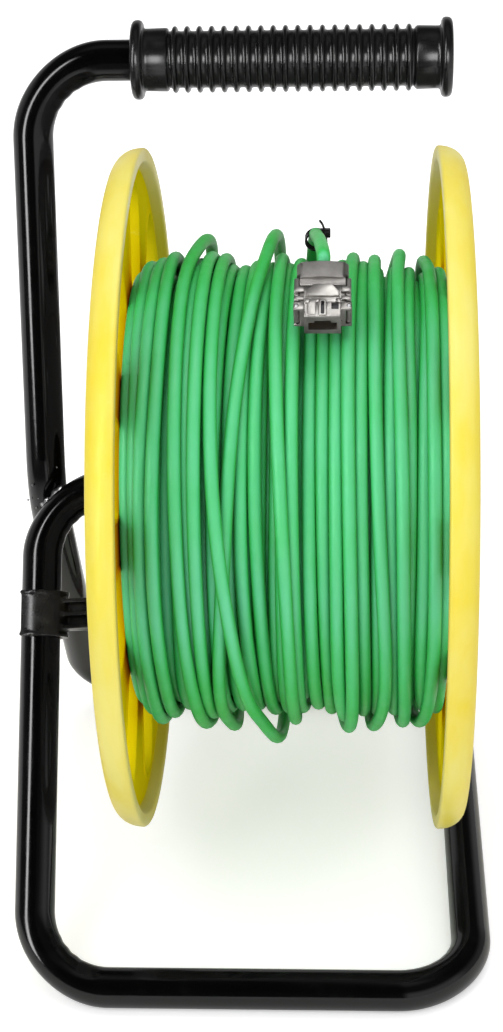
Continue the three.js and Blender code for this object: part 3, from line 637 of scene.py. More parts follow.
def bent_line(corners, straight_step, bend_step):
    """Points along straights and round bends. A corner is (x, y, z) with a bend radius and a flattening.

    Also gives, for each point, the direction away from the middle of its bend and the flattening there.
    """
    points, away, flat = [], [], []

    def add(point, direction, amount):
        points.append(point)
        away.append(direction)
        flat.append(amount)

    here = np.array(corners[0][0], float)
    add(here, np.zeros(3), 0)
    for i in range(1, len(corners)):
        corner = np.array(corners[i][0], float)
        incoming = unit(corner - here)
        if i == len(corners) - 1:
            length = np.linalg.norm(corner - here)
            for k in range(1, math.ceil(length / straight_step) + 1):
                add(here + incoming * length * k / math.ceil(length / straight_step), np.zeros(3), 0)
            break
        outgoing = unit(np.array(corners[i + 1][0], float) - corner)
        radius, flattening = corners[i][1:]
        turn = math.acos(float(incoming @ outgoing))
        start = corner - incoming * radius * math.tan(turn / 2)
        length = np.linalg.norm(start - here)
        count = math.ceil(length / straight_step)
        for k in range(1, count):
            add(here + incoming * length * k / count, np.zeros(3), 0)
        side = unit(np.cross(np.cross(incoming, outgoing), incoming))
        count = math.ceil(math.degrees(turn) / bend_step)
        for k in range(count + 1):
            a = turn * k / count
            outward = -side * math.cos(a) + incoming * math.sin(a)
            into = min(k, count - k) / count
            flattened = flattening * smoothstep(into / FLATTENS_OVER)
            add(start + side * radius + outward * radius, outward, flattened)
        here = points[-1]
    return np.array(points), np.array(away), np.array(flat)


ARCH_FLAT = 0.16
BEND_FLAT = 0.08
KINK_FLAT = 0.02
GRIP_END_GAP = 6.0


def frame_corners():
    front, rear = MOUNTS["floor_front"][1], MOUNTS["floor_rear"][1]
    _, handle_y, handle_z = GRIP_MIDDLE
    axle_end = low_high("axle_insert")[1][0] + CLEAR
    return [
        ((axle_end, AXLE[1], AXLE[2]),),
        ((-SIDE_X, AXLE[1], AXLE[2]), ARCH_BEND_R, ARCH_FLAT),
        ((-SIDE_X, front, TUBE_R), TUBE_BEND_R, BEND_FLAT),
        ((SIDE_X, front, TUBE_R), TUBE_BEND_R, BEND_FLAT),
        ((SIDE_X, rear, TUBE_R), TUBE_BEND_R, BEND_FLAT),
        ((-SIDE_X, rear, TUBE_R), TUBE_BEND_R, BEND_FLAT),
        ((-SIDE_X, KINK_Y, KINK_Z), KINK_BEND_R, KINK_FLAT),
        ((-SIDE_X, handle_y, handle_z), TUBE_BEND_R, BEND_FLAT),
        ((GRIP_MIDDLE[0] + GRIP_LENGTH / 2 - GRIP_END_GAP, handle_y, handle_z),),
    ]


def frame_tube():
    """The tube, thinner across its bends, with small wrinkles inside them and an open end at the axle."""
    points, away, flat = bent_line(frame_corners(), 8, 2.5)
    _, across, up = carried_frames(points)
    sides = 56
    ring = ring_directions(across, up, sides)
    outward = np.einsum("pkc,pc->pk", ring, away)
    squeeze = np.where(outward > 0, flat[:, None], 0.25 * flat[:, None])
    offset = ring - away[:, None, :] * (outward * squeeze)[:, :, None]
    offset = offset * (1 + 0.12 * flat[:, None, None] * (1 - outward[:, :, None] ** 2))
    run = np.concatenate([[0], np.cumsum(np.linalg.norm(np.diff(points, axis=0), axis=1))])
    wrinkle = np.sin(run * 2 * math.pi / 7.5)[:, None] * np.clip(-outward, 0, 1) ** 3 * (flat[:, None] > 0.05)
    outer = points[:, None, :] + offset * (TUBE_R + 0.16 * wrinkle)[:, :, None]
    bore_depth, bore_r = 26, TUBE_R - TUBE_WALL
    mouth = [(0.0, TUBE_R - 0.35), (0.0, bore_r + 0.2), (0.4, bore_r), (bore_depth, bore_r)]
    rows = [points[0] - unit(points[0] - points[1]) * depth + ring[0] * r for depth, r in mouth[::-1]]
    outer[0] += (points[1] - points[0]) / np.linalg.norm(points[1] - points[0]) * 0.35
    verts = np.concatenate([np.array(rows).reshape(-1, 3), outer.reshape(-1, 3)])
    count = len(rows) + len(points)
    faces = grid_faces(count, sides) + end_faces(count, sides)
    tube = smooth(facing_out(new_object("bent_tube", verts, faces)), 50)
    dress(tube, PAINT, "frame", ["frame_tube"])


WELD_MIDDLE = (-94.6, 2.4, 179.0)
WELD_ALONG = (7.0, 0.6, 6.5)
WELD_HALF_LENGTH = 6.6


def weld_bead():
    """The weld that ties the post to the arch: an uneven string of blobs with spatter round it."""
    rng = np.random.default_rng(SEED + 1)
    middle, along = np.array(WELD_MIDDLE), unit(np.array(WELD_ALONG))
    blobs = []
    for k in range(9):
        t = (k - 4) / 4
        at = middle + along * WELD_HALF_LENGTH * t + rng.normal(0, 0.6, 3)
        size = np.array([2.6, 2.0, 2.0]) * rng.uniform(0.8, 1.2)
        blobs.append(ellipsoid(at, size))
    bead = fused("weld_bead", blobs, 0.55, 2)
    for v in bead.data.vertices:
        v.co += Vector(rng.normal(0, 0.00009, 3))
    spatter = [ellipsoid(middle + rng.normal(0, [5.5, 2.2, 6.5]), np.full(3, rng.uniform(0.35, 0.7)))
               for _ in range(22)]
    bead = smooth(joined("weld_bead", [bead] + spatter), 180)
    dress(bead, WELD, "frame")


def ellipsoid(at, size):
    bm = bmesh.new()
    bmesh.ops.create_icosphere(bm, subdivisions=3, radius=1)
    bm.verts.index_update()
    verts = np.array([v.co[:] for v in bm.verts]) * size
    faces = [[v.index for v in f.verts] for f in bm.faces]
    bm.free()
    return new_object("blob", verts, faces, at)


# ---------------------------------------------------------------- handle grip

def grip():
    """A moulded grip with an end disc and a collar at each end, round ribs and a fine parting line."""
    half, disc, collar = GRIP_LENGTH / 2, 5.0, 11.3
    disc_r, collar_r, groove_r, rib_r = 17.3, 13.7, 12.3, 14.5
    ribs, rib_half = 20, 0.25
    # Places across half a rib and half a groove, as shares of the pitch
    rib_stations = (0.0, 0.08, 0.15, 0.2, 0.24, 0.26, 0.3, 0.38, 0.5)
    ribbed = half - disc - collar
    pitch = 2 * ribbed / ribs
    end = [(0.0, disc_r - 2.2), (0.15, disc_r - 1.5), (0.6, disc_r - 0.7), (1.4, disc_r - 0.15)]
    end += [(2.4, disc_r), (disc - 1.6, disc_r - 0.05), (disc - 0.8, disc_r - 0.4)]
    end += [(disc - 0.2, disc_r - 1.3), (disc, disc_r - 2.4)]
    end += [(disc + 0.2, collar_r + 0.5), (disc + 0.8, collar_r - 0.1)]
    end += [(disc + 2.5, collar_r - 0.1), (disc + collar - 1.0, collar_r + 0.1)]
    end += [(disc + collar - 0.3, collar_r - 0.3)]
    section = [(-half + x, r) for x, r in end]
    for i in range(ribs):
        middle = -ribbed + pitch * (i + 0.5)
        for t in (*(-t for t in rib_stations[:0:-1]), *rib_stations[:-1]):
            rounding = math.sqrt(max(0.0, 1 - (t / rib_half) ** 2))
            fillet_rise = 0.12 * max(0.0, 1 - max(0.0, abs(t) - rib_half) / 0.1)
            section.append((middle + t * pitch, groove_r + (rib_r - groove_r) * max(rounding, fillet_rise)))
    section += [(half - x, r) for x, r in end[::-1]]
    bore = TUBE_R + CLEAR
    # The far end is closed by a slightly dished disc; the near end takes the tube
    section += [(half - 0.4, disc_r - 4), (half - 0.5, 0), (half - 5.5, 0), (half - 5.5, bore), (-half, bore)]
    body = lathe("grip", section, 120, GRIP_MIDDLE)
    for v in body.data.vertices:
        y, z = v.co.y / MM - GRIP_MIDDLE[1], v.co.z / MM - GRIP_MIDDLE[2]
        r = math.hypot(y, z)
        if r > bore + 1 and min(abs(math.atan2(z, -y)), abs(math.atan2(z, y))) < math.radians(1.6):
            lift = 1 + 0.14 / r
            v.co.y, v.co.z = (GRIP_MIDDLE[1] + y * lift) * MM, (GRIP_MIDDLE[2] + z * lift) * MM
    dress(smooth(body, 48), PLASTIC, "frame", ["handle_grip"])


# ---------------------------------------------------------------- hub bracket

def strut_frame():
    """The bracket's own axes: X along the axle, Y up the front strut, Z towards the front."""
    lean = math.atan2(AXLE[2] - TUBE_R, -MOUNTS["floor_front"][1])
    up = np.array([0, math.cos(lean), math.sin(lean)])
    front = np.array([0, -math.sin(lean), math.cos(lean)])
    origin = np.array([-SIDE_X, AXLE[1], AXLE[2]])
    return lambda p: origin + p[:, :1] * [1, 0, 0] + p[:, 1:2] * up + p[:, 2:3] * front


def arc_outline(outer, inner, start, end, steps=24):
    angles = np.radians(np.linspace(start, end, steps))
    ring = [(outer * math.cos(a), outer * math.sin(a)) for a in angles]
    return ring + [(inner * math.cos(a), inner * math.sin(a)) for a in angles[::-1]]


def bracket():
    """A split clip on the strut, a ribbed arm and a ring round the axle, moulded as one."""
    place = strut_frame()
    drop, height = 59.0, 21.0
    ring_x0 = AXLE[0] - 80 + SIDE_X
    ring_x1 = ring_x0 + 7

    def clip_place(p):
        return place(np.column_stack([p[:, 0], p[:, 2] - drop, -p[:, 1]]))

    def rising_place(p):
        return place(p + np.column_stack([0 * p[:, 0], 0.06 * (p[:, 0] - 12), 0 * p[:, 0]]))

    clip = prism(arc_outline(12.4, TUBE_R + CLEAR, -132, 132, 40), -height / 2, height / 2, clip_place)
    lips = [prism(arc_outline(13.0, TUBE_R + CLEAR, -132, 132, 40), z, z + 1.6, clip_place)
            for z in (-height / 2, height / 2 - 1.6)]
    low, high = -drop - 7, -drop + 7
    arm = [block((TUBE_R + 1.5, low, -1.4), (ring_x1, high, 1.4), place)]
    for y in (low, -drop - 1, high - 2):
        arm.append(block((TUBE_R + 1.5, y, -6.8), (ring_x1, y + 1.9, 6.8), rising_place))
    arm.append(block((ring_x0 + 2, low, -6.8), (ring_x1, 0, 6.8), place))
    ring = lathe("ring", [(ring_x0, 10.2), (ring_x0, 19), (ring_x1, 19), (ring_x1, 10.2)], 64, (0, 0, 0))
    moved(ring, place)
    keep_clear = [
        rod_in(place, (ring_x0 - 3, 0, 0), (ring_x1 + 3, 0, 0), 9.7),
        rod_in(place, (0, low - 30, 0), (0, high + 30, 0), TUBE_R + CLEAR),
    ]
    body = fused("hub_bracket_moulding", [clip, *lips, *arm, ring], 0.6, 3)
    body = cut_by(body, keep_clear)
    dress(smooth(body, 45), CLIP_PLASTIC, "frame", ["hub_bracket"])


def rod_between(start, end, radius, sides=64):
    verts, faces = tube_mesh(np.array([start, end], float), [radius, radius], sides)
    return facing_out(new_object("rod", verts, faces))


def rod_in(place, start, end, radius, sides=64):
    """A rod between two points of a piece's own axes."""
    ends = place(np.array([start, end], float))
    return rod_between(ends[0], ends[1], radius, sides)


# ---------------------------------------------------------------- drum flanges

WINDOWS = 10
WINDOW_R = 113.0
WINDOW_LONG = 54.0
WINDOW_WIDE = 40.0
WINDOW_ROUND = 17.0
WINDOW_FIRST = 20.0
CELL_INNER_R = 78.0
CELL_OUTER_R = 146.0
ARC_STEPS = 26
SIDE_STEPS = 20
WEB_IN = 66.0
WEB_OUT = 68.4
RING_IN = 70.0
RING_OUT = 72.4

# The skin round a window: distance from its edge, rise of the inside face and of the outside face
WINDOW_SKIN = [(0.0, 0.1, 3.6), (0.25, 0.5, 4.0), (0.7, 0.7, 4.2), (1.3, 0.7, 4.2), (1.75, 0.5, 4.0),
               (2.0, 0.2, 3.5), (2.3, 0.05, 0.6), (2.8, 0.0, 0.1), (3.6, 0.0, 0.0)]


def window_distance(u, v):
    """Signed distance from the edge of a rounded window, along the arc and along the radius."""
    qx = np.abs(u) - WINDOW_WIDE / 2 + WINDOW_ROUND
    qy = np.abs(v) - WINDOW_LONG / 2 + WINDOW_ROUND
    return np.hypot(np.maximum(qx, 0), np.maximum(qy, 0)) + np.minimum(np.maximum(qx, qy), 0) - WINDOW_ROUND


def cell_edge():
    """Points round one flange sector, as along-arc and radial offsets from the window's middle."""
    half = math.pi / WINDOWS
    across = np.linspace(-half, half, ARC_STEPS + 1)
    radii = np.linspace(CELL_INNER_R, CELL_OUTER_R, SIDE_STEPS + 1)
    loop = [(r, half) for r in radii[:-1]] + [(CELL_OUTER_R, a) for a in across[::-1][:-1]]
    loop += [(r, -half) for r in radii[::-1][:-1]] + [(CELL_INNER_R, a) for a in across[:-1]]
    return np.array([(r * math.sin(a), r * math.cos(a) - WINDOW_R) for r, a in loop])


def rays_at(edge, distance):
    """Where each ray from the window's middle to the sector's edge is a distance outside the window."""
    low, high = np.zeros(len(edge)), np.ones(len(edge))
    for _ in range(40):
        middle = (low + high) / 2
        inside = window_distance(*(edge * middle[:, None]).T) < distance
        low, high = np.where(inside, middle, low), np.where(inside, high, middle)
    return edge * low[:, None]


def flange_mesh(name, side):
    """Rim, web and windows with raised edges, in one skin. The flange that faces +X is made and mirrored."""
    edge = cell_edge()
    rings = [rays_at(edge, s) for s, _, _ in WINDOW_SKIN]
    heights_in = [RING_IN - rise for _, rise, _ in WINDOW_SKIN]
    heights_out = [RING_OUT + rise for _, _, rise in WINDOW_SKIN]
    for share in (0.35, 0.7, 1.0):
        rings.append(rings[len(WINDOW_SKIN) - 1] * (1 - share) + edge * share)
        heights_in.append(RING_IN)
        heights_out.append(RING_OUT)
    verts, faces = [], []
    n = len(edge)
    for w in range(WINDOWS):
        a = math.radians(WINDOW_FIRST + 360 / WINDOWS * w)
        starts = {}
        for face, heights in (("in", heights_in), ("out", heights_out)):
            starts[face] = len(verts)
            for ring, x in zip(rings, heights):
                u = ring[:, 0]
                v = ring[:, 1] + WINDOW_R
                y = -(v * math.sin(a) + u * math.cos(a))
                z = v * math.cos(a) - u * math.sin(a)
                verts += np.column_stack([np.full(n, x), y, z]).tolist()
            for i in range(len(rings) - 1):
                faces += quad_strip(starts[face] + i * n, starts[face] + (i + 1) * n, n)
        faces += quad_strip(starts["in"], starts["out"], n)
    segments = WINDOWS * ARC_STEPS
    phase = math.radians(WINDOW_FIRST + 180 / WINDOWS)
    for section in (rim_section(), hub_section()):
        start = len(verts)
        angles = phase + np.arange(segments) * 2 * math.pi / segments
        for x, r in section:
            verts += [(x, -r * math.sin(a), r * math.cos(a)) for a in angles]
        for i in range(len(section) - 1):
            faces += quad_strip(start + i * segments, start + (i + 1) * segments, segments)
    verts = np.array(verts) * [side, 1, 1]
    obj = new_object(name, verts, faces, AXLE)
    bm = bmesh.new()
    bm.from_mesh(obj.data)
    bmesh.ops.remove_doubles(bm, verts=bm.verts, dist=0.02 * MM)
    bmesh.ops.recalc_face_normals(bm, faces=bm.faces)
    open_edges = sum(1 for e in bm.edges if len(e.link_faces) != 2)
    bm.to_mesh(obj.data)
    bm.free()
    if open_edges:
        raise RuntimeError(f"{name} has {open_edges} open edges")
    return obj


def rim_section():
    """From the ring's inside face, over the lip and the rounded rim, back to the ring's outside face."""
    r, lip, edge = FLANGE_R, FLANGE_INNER_X, FLANGE_OUTER_X
    inside = [(RING_IN, CELL_OUTER_R), (RING_IN, 146.6), (69.6, 147.1)]
    inside += [(lip + 1.2, 148.5), (lip + 0.3, 149.0), (lip, 149.7), (lip, r - 1.6), (lip + 0.1, r - 0.9)]
    rim = [(lip + 0.45, r - 0.35), (lip + 1.1, r), (68.0, r - 0.15), (70.0, r - 0.5), (72.0, r - 1.2)]
    rim += [(73.6, r - 2.1), (75.0, r - 3.2), (76.0, r - 4.4), (edge - 0.35, r - 5.4), (edge, r - 6.4)]
    back = [(edge - 0.1, r - 7.2), (edge - 0.6, r - 7.8), (edge - 1.4, r - 7.6), (edge - 2.2, r - 6.6)]
    inner = [(74.0, r - 5.2), (73.2, r - 4.9), (72.7, r - 5.6), (RING_OUT, r - 7.0)]
    return inside + rim + back + inner + [(RING_OUT, CELL_OUTER_R)]


def hub_section():
    """From the ring's inside face, up the step and in to the bush seat, and back out along the outside."""
    seat = 15.15
    inside = [(RING_IN, CELL_INNER_R), (RING_IN, 77.6), (69.8, 77.1), (69.4, 76.8), (66.5, 75.7)]
    inside += [(66.1, 75.3), (WEB_IN, 74.8), (WEB_IN, 21.0), (65.4, 20.3), (64.6, 20.0), (56.6, 20.0)]
    inside += [(56.0, 19.4), (56.0, seat)]
    outside = [(70.0, seat), (70.0, 19.6), (69.6, 20.0), (68.9, 20.2), (WEB_OUT, 21.0), (WEB_OUT, 73.9)]
    outside += [(68.6, 74.3), (72.1, 75.7), (RING_OUT, 76.2)]
    return inside + outside + [(RING_OUT, CELL_INNER_R)]


SCREWS = 5
SCREW_CIRCLE_R = 65.0
SCREW_FIRST = 38.0


def screw_places(side):
    for i in range(SCREWS):
        a = math.radians(SCREW_FIRST + 360 / SCREWS * i)
        yield i + 1, np.array([0, -SCREW_CIRCLE_R * math.sin(a), SCREW_CIRCLE_R * math.cos(a)]) + AXLE


def flange(word, side):
    """A flange with its screw holes, and in the right one the opening for the fixed jack."""
    obj = flange_mesh(word + "_flange_moulding", side)
    cutters = []
    for _, at in screw_places(side):
        start, end = at + [side * 60, 0, 0], at + [side * 74, 0, 0]
        cutters.append(rod_between(start, end, 2.2, 24))
    if side > 0:
        cutters.append(block((60, -7.9, INNER_JACK_R - 6.8), (75, 7.9, INNER_JACK_R + 6.8), on_axle))
    obj = cut_by(obj, cutters)
    dress(smooth(obj, 38), YELLOW, "drum", [word + "_flange"])


LEAD_HOLE_X = 20.0
LEAD_HOLE_DEG = 24.0


def barrel():
    """The core: a tube with a hole for the cable's inner end, and a boss for each screw."""
    half = WEB_IN - CLEAR
    section = [(-half, BARREL_R - 3), (-half, BARREL_R - 0.4), (-half + 0.4, BARREL_R)]
    section += [(half - 0.4, BARREL_R), (half, BARREL_R - 0.4), (half, BARREL_R - 3)]
    tube = lathe("barrel_moulding", section, 120, AXLE)
    hole_ends = [drum_point(LEAD_HOLE_X, BARREL_R + depth, LEAD_HOLE_DEG) for depth in (-9, 6)]
    cut_by(tube, [rod_between(*hole_ends, 4.3, 32)])
    boss = [(-half + 0.2, 2.2), (-half + 0.2, 6.2), (half - 0.2, 6.2), (half - 0.2, 2.2)]
    bosses = [lathe("boss", boss, 32, at) for _, at in screw_places(1)]
    whole = joined("barrel_moulding", [tube] + bosses)
    dress(smooth(whole, 38), YELLOW, "drum", ["drum_barrel"])


# ---------------------------------------------------------------- cable

CABLE_D = 2 * CABLE_R
TURN_STEPS = 72
TRAVERSE = WINDING_HALF - CABLE_R
FIRST_TRAVERSE = WEB_IN - CABLE_R - 1.0
LAYERS = 4
FLATTEST_DROP = 0.5
OUTER_TURNS = 46.5
CABLE_LEAVES_AT = -75.0
OVERLAP = 6


def traverse_positions(rng):
    """Where each turn starts along the drum: layers back and forth, less even as the drum fills."""
    places = []
    direction = 1
    for layer in range(LAYERS):
        unevenness = 0.04 + 0.05 * layer
        reach = TRAVERSE if layer else FIRST_TRAVERSE
        count = int(round(2 * reach / CABLE_D)) - (1 if layer > 2 else 0)
        steps = rng.uniform(1 - unevenness, 1 + unevenness, count)
        along = np.concatenate([[0], np.cumsum(steps) / steps.sum()]) * 2 - 1
        places += list(direction * reach * along[:-1])
        direction = -direction
    return places


# The last turns, listed one by one: where each lies along the drum at these angles round it
LOOSE_ANGLES = (-130.0, -30.0, 40.0, 95.0, 150.0)
LOOSE_TURNS = [
    (-66, -66, -66, -66, -66),
    (-60, -60, -61, -61, -61),
    (-55, -54, -55, -55, -54),
    (-49, -48, -49, -48, -49),
    (-43, -42, -44, -43, -43),
    (-37, -36, -38, -37, -37),
    (-31, -28, -33, -32, -30),
    (-25, -22, -26, -24, -22),
    (-18, -16, -20, -18, -15),
    (-11, -9, -13, -11, -8),
    (-4, -2, -6, -4, -2),
    (3, 4, 1, 2, 4),
    (10, 11, 8, 9, 11),
    (17, 18, 15, 16, 18),
    (24, 25, 22, 23, 25),
    (31, 32, 30, 30, 31),
    (38, 39, 37, 37, 38),
    (45, 46, 44, 43, 45),
    (52, 53, 51, 50, 52),
    (59, 60, 59, 57, 59),
    (65, 66, 66, 65, 65),
    (57, 62, 63, 61, 58),
    (48, 46, 51, 52, 47),
    (40, 35, 36, 39, 42),
    (29, 27, 24, 27, 28),
    (9, -4, -2, 5, 3),
    (-8, -4, -22, -34, -30),
    (-32, -40, -44, -42, -36),
    (-30, -24, -30, -24, -4),
    (0, 6, 10, 12, 12),
]

# Slack that stands off the winding: loose turn, angle, half width in degrees, lift, sideways bow
SLACK = [
    (27, -31, 24, 4.0, 8.0),
    (26, -30, 30, 6.0, 2.0),
    (22, -33, 22, 3.0, 5.0),
    (21, -34, 18, 3.5, -3.0),
    (26, 154, 22, 4.0, 6.0),
    (28, 152, 26, 7.0, 4.0),
    (23, 150, 20, 2.0, -3.0),
]


def planned_path(rng):
    """Wanted place along the drum at every station, with slack lift, for the whole cable."""
    places = traverse_positions(rng)
    count = len(places)
    total = count + len(LOOSE_TURNS)
    stations = np.arange(total * TURN_STEPS)
    turns = stations / TURN_STEPS
    knots_t = list(np.arange(count))
    knots_x = list(places)
    for i, row in enumerate(LOOSE_TURNS):
        for angle, x in zip(LOOSE_ANGLES, row):
            knots_t.append(count + i + (angle + 180) / 360)
            knots_x.append(x)
    wanted = np.interp(turns, knots_t, knots_x)
    for _ in range(3):
        wanted = softened(wanted, [1] * 9)
    growth = np.clip(turns / count, 0, 1) ** 2
    for cycles, size in ((0.31, 1.1), (0.83, 0.7), (1.7, 0.45)):
        wanted += growth * size * np.sin(2 * np.pi * (turns * cycles + rng.uniform()))
    lift = np.zeros(len(stations))
    bow = np.zeros(len(stations))
    for turn, angle, half, height, sideways in SLACK:
        middle = (count + turn + (angle + 180) / 360) * TURN_STEPS
        t = np.clip(np.abs(stations - middle) / (half * TURN_STEPS / 360), 0, 1)
        bump = np.cos(t * np.pi / 2) ** 2
        lift += height * bump
        bow += sideways * bump
    return np.clip(wanted + bow, -TRAVERSE, TRAVERSE), lift, total


def settle(turn_x, laid_x, laid_r, offsets, rise):
    """Lowest radius at which a strand rests on the laid ones, for every station and sideways offset."""
    x = np.clip(turn_x[:, None] + offsets[None, :], -TRAVERSE, TRAVERSE)
    rest = np.full(x.shape, rise)
    if len(laid_x):
        gap = x[None, :, :] - laid_x[:, :, None]
        over = laid_r[:, :, None] + np.sqrt(np.maximum(CABLE_D ** 2 - gap ** 2, 0))
        rest = np.maximum(rest, np.where(np.abs(gap) < CABLE_D, over, 0).max(0))
    return x, rest


def easiest(rest, offsets, start):
    """The offset at each station that follows the valleys without darting from side to side."""
    stiffness, homing = 1.6, 0.06
    cost = rest[0] + homing * offsets ** 2 + stiffness * (offsets - start) ** 2
    back = []
    change = stiffness * (offsets[:, None] - offsets[None, :]) ** 2
    for k in range(1, len(rest)):
        step = cost[None, :] + change
        back.append(step.argmin(1))
        cost = step.min(1) + rest[k] + homing * offsets ** 2
    pick = [int(cost.argmin())]
    for choice in back[::-1]:
        pick.append(int(choice[pick[-1]]))
    return np.array(pick[::-1])


def wound_cable():
    """Every station of the wound cable, turn by turn: place along the drum and distance from its axis.

    Each turn is dropped on the turns below it and slides a little sideways into their valleys.
    """
    rng = np.random.default_rng(SEED)
    wanted, lift, total = planned_path(rng)
    base = BARREL_R + CABLE_R + 0.3
    offsets = np.linspace(-2.4, 2.4, 17)
    start = 0.0
    xs, rs = np.zeros((0, TURN_STEPS)), np.zeros((0, TURN_STEPS))
    for turn in range(total):
        part = slice(turn * TURN_STEPS, (turn + 1) * TURN_STEPS)
        x, rest = settle(wanted[part], xs, rs, offsets, base)
        pick = easiest(rest, offsets, start)
        start = offsets[pick[-1]]
        rows = np.arange(TURN_STEPS)
        chosen_x, chosen_r = x[rows, pick], rest[rows, pick]
        if turn:
            for k in range(TURN_STEPS):
                before = rs[-1, -1] if k == 0 else chosen_r[k - 1]
                chosen_r[k] = max(chosen_r[k], before - FLATTEST_DROP)
        for k in range(TURN_STEPS - 2, -1, -1):
            chosen_r[k] = max(chosen_r[k], chosen_r[k + 1] - FLATTEST_DROP)
        if turn:
            need = chosen_r[0]
            for k in range(TURN_STEPS - 1, TURN_STEPS - 14, -1):
                need -= FLATTEST_DROP
                rs[-1, k] = max(rs[-1, k], need)
        xs, rs = np.vstack([xs, chosen_x]), np.vstack([rs, chosen_r])
    x, r = xs.ravel(), rs.ravel()
    for _ in range(2):
        x, r = softened(x, (1, 2, 3, 4, 3, 2, 1)), softened(r, (1, 2, 3, 4, 3, 2, 1))
    return x, r + lift, total


def softened(values, weights):
    """A running mean with the given weights."""
    kernel = np.array(weights) / sum(weights)
    return np.convolve(np.pad(values, len(weights) // 2, mode="edge"), kernel, mode="valid")


def cable_line(x, r, first, last):
    """Points of the wound cable between two stations, at twice as many stations."""
    stations = np.arange(first, last, 0.5)
    index = np.arange(len(x))
    xi = softened(np.interp(stations, index, x), (1, 2, 1))
    ri = softened(np.interp(stations, index, r), (1, 2, 1))
    a = np.radians(stations / TURN_STEPS * 360 - 180)
    points = np.column_stack([xi, -ri * np.sin(a), ri * np.cos(a)]) + AXLE
    return points, stations


def tube_along(name, points, radius, sides):
    """A cable skin whose sections lie across the line, without twist."""
    tangents = unit(np.gradient(points, axis=0))
    across = np.zeros_like(points)
    across[:, 0] = 1
    across = unit(across - tangents * (across * tangents).sum(1, keepdims=True))
    up = np.cross(tangents, across)
    verts = (points[:, None, :] + ring_directions(across, up, sides) * radius).reshape(-1, 3)
    return new_object(name, verts, grid_faces(len(points), sides) + end_faces(len(points), sides))


def dress_cable(obj, node, tones, sides):
    """The cable's finish, with a tone for each of its sections."""
    tone = obj.data.attributes.new("tone", "FLOAT", "POINT")
    tone.data.foreach_set("value", np.repeat(np.asarray(tones, float), sides).astype(np.float32))
    obj.data.polygons.foreach_set("use_smooth", [True] * len(obj.data.polygons))
    dress(facing_out(obj), CABLE, "drum", [node])


def cable():
    """The wound cable in two lengths, then its outer end in the free jack and its inner end in the drum."""
    rng = np.random.default_rng(SEED + 2)
    x, r, total = wound_cable()
    tone_at_turn = rng.uniform(0, 1, total + 3)

    def tones(stations):
        return np.interp(stations / TURN_STEPS, np.arange(total + 3), tone_at_turn)

    end = int((total - 1 + (180 + CABLE_LEAVES_AT) / 360) * TURN_STEPS)
    split = int((total - OUTER_TURNS) * TURN_STEPS)
    for name, first, last, sides, step in (
        ("cable_inner_turns", 0, split + 2, 8, 2), ("cable_outer_turns", split, end - OVERLAP, 12, 1),
    ):
        points, at = cable_line(x, r, first, last)
        obj = tube_along(name, points[::step], CABLE_R, sides)
        dress_cable(obj, "cable_winding", tones(at[::step]), sides)
    points, _ = cable_line(x, r, end - 2 * OVERLAP, end)
    outer_end(points, float(tones(end - OVERLAP)))
    inner_end()


def cable_end(name, node, knots, radius, tone, sides=20):
    """A length of cable through a few points."""
    line = curve_through(knots, 14)
    dress_cable(tube_along(name, line, radius, sides), node, np.full(len(line), tone), sides)


def outer_end(before, tone):
    """From the winding over the top into the rear of the free jack, just over the last turn's own skin."""
    ends = jack_place("outer")(np.array([[0, -23, -0.8], [0, -15.5, 0], [0, -8.5, 0]], float))
    middle = [drum_point(9.8, 111.5, -36), drum_point(12.4, 115.8, -14)]
    knots = np.vstack([before[::6], middle, ends])
    cable_end("cable_outer_end", "outer_tail", knots, CABLE_R + 0.03, tone)


def inner_end():
    """From the hole in the barrel to the rear of the fixed jack."""
    ends = jack_place("inner")(np.array([[0, -26, 1.5], [0, -17, 0], [0, -8.5, 0]], float))
    start = [drum_point(LEAD_HOLE_X, 76.2, LEAD_HOLE_DEG + 10), drum_point(LEAD_HOLE_X, 72, LEAD_HOLE_DEG)]
    knots = np.vstack([start, [drum_point(LEAD_HOLE_X + 0.5, 60, LEAD_HOLE_DEG - 5)], ends])
    cable_end("cable_inner_end", "inner_lead", knots, CABLE_R, 0.5)


# ---------------------------------------------------------------- jacks

def jack_place(prefix):
    """The jack's own axes (X across, Y to its port, Z off the face it lies on), from its wings' pins."""
    left, right = JOINTS[prefix + "_wing_left_swing"], JOINTS[prefix + "_wing_right_swing"]
    pin_left, pin_right = np.array(left["pos_m"]) / MM, np.array(right["pos_m"]) / MM
    x_axis = unit(pin_left - pin_right)
    z_axis = unit(np.array(left["axis"], float))
    y_axis = np.cross(z_axis, x_axis)
    origin = (pin_left + pin_right) / 2 - PIN_Y * y_axis
    return lambda p: origin + p[:, :1] * x_axis + p[:, 1:2] * y_axis + p[:, 2:3] * z_axis


JACK_HALF = 9.5
JACK_NOSE_HALF = 7.6
JACK_TOP = 6.5
NOSE_Y = 13.5
WING_X = 10.8


def jack_block(low, high, place, bevel=0.35):
    return bevelled(block(low, high, place), bevel)


def sideways(place):
    """Turns an outline in Y and Z, given as (y, z, x), into jack axes."""
    return lambda p: place(p[:, [2, 0, 1]])


def endways(place):
    """Turns an outline in X and Z, given as (x, z, y), into jack axes."""
    return lambda p: place(p[:, [0, 2, 1]])


def pin_rod(place, side, reach, radius, sides):
    """A rod along a wing's pin."""
    return rod_in(place, (side * WING_X, PIN_Y, -reach), (side * WING_X, PIN_Y, reach), radius, sides)


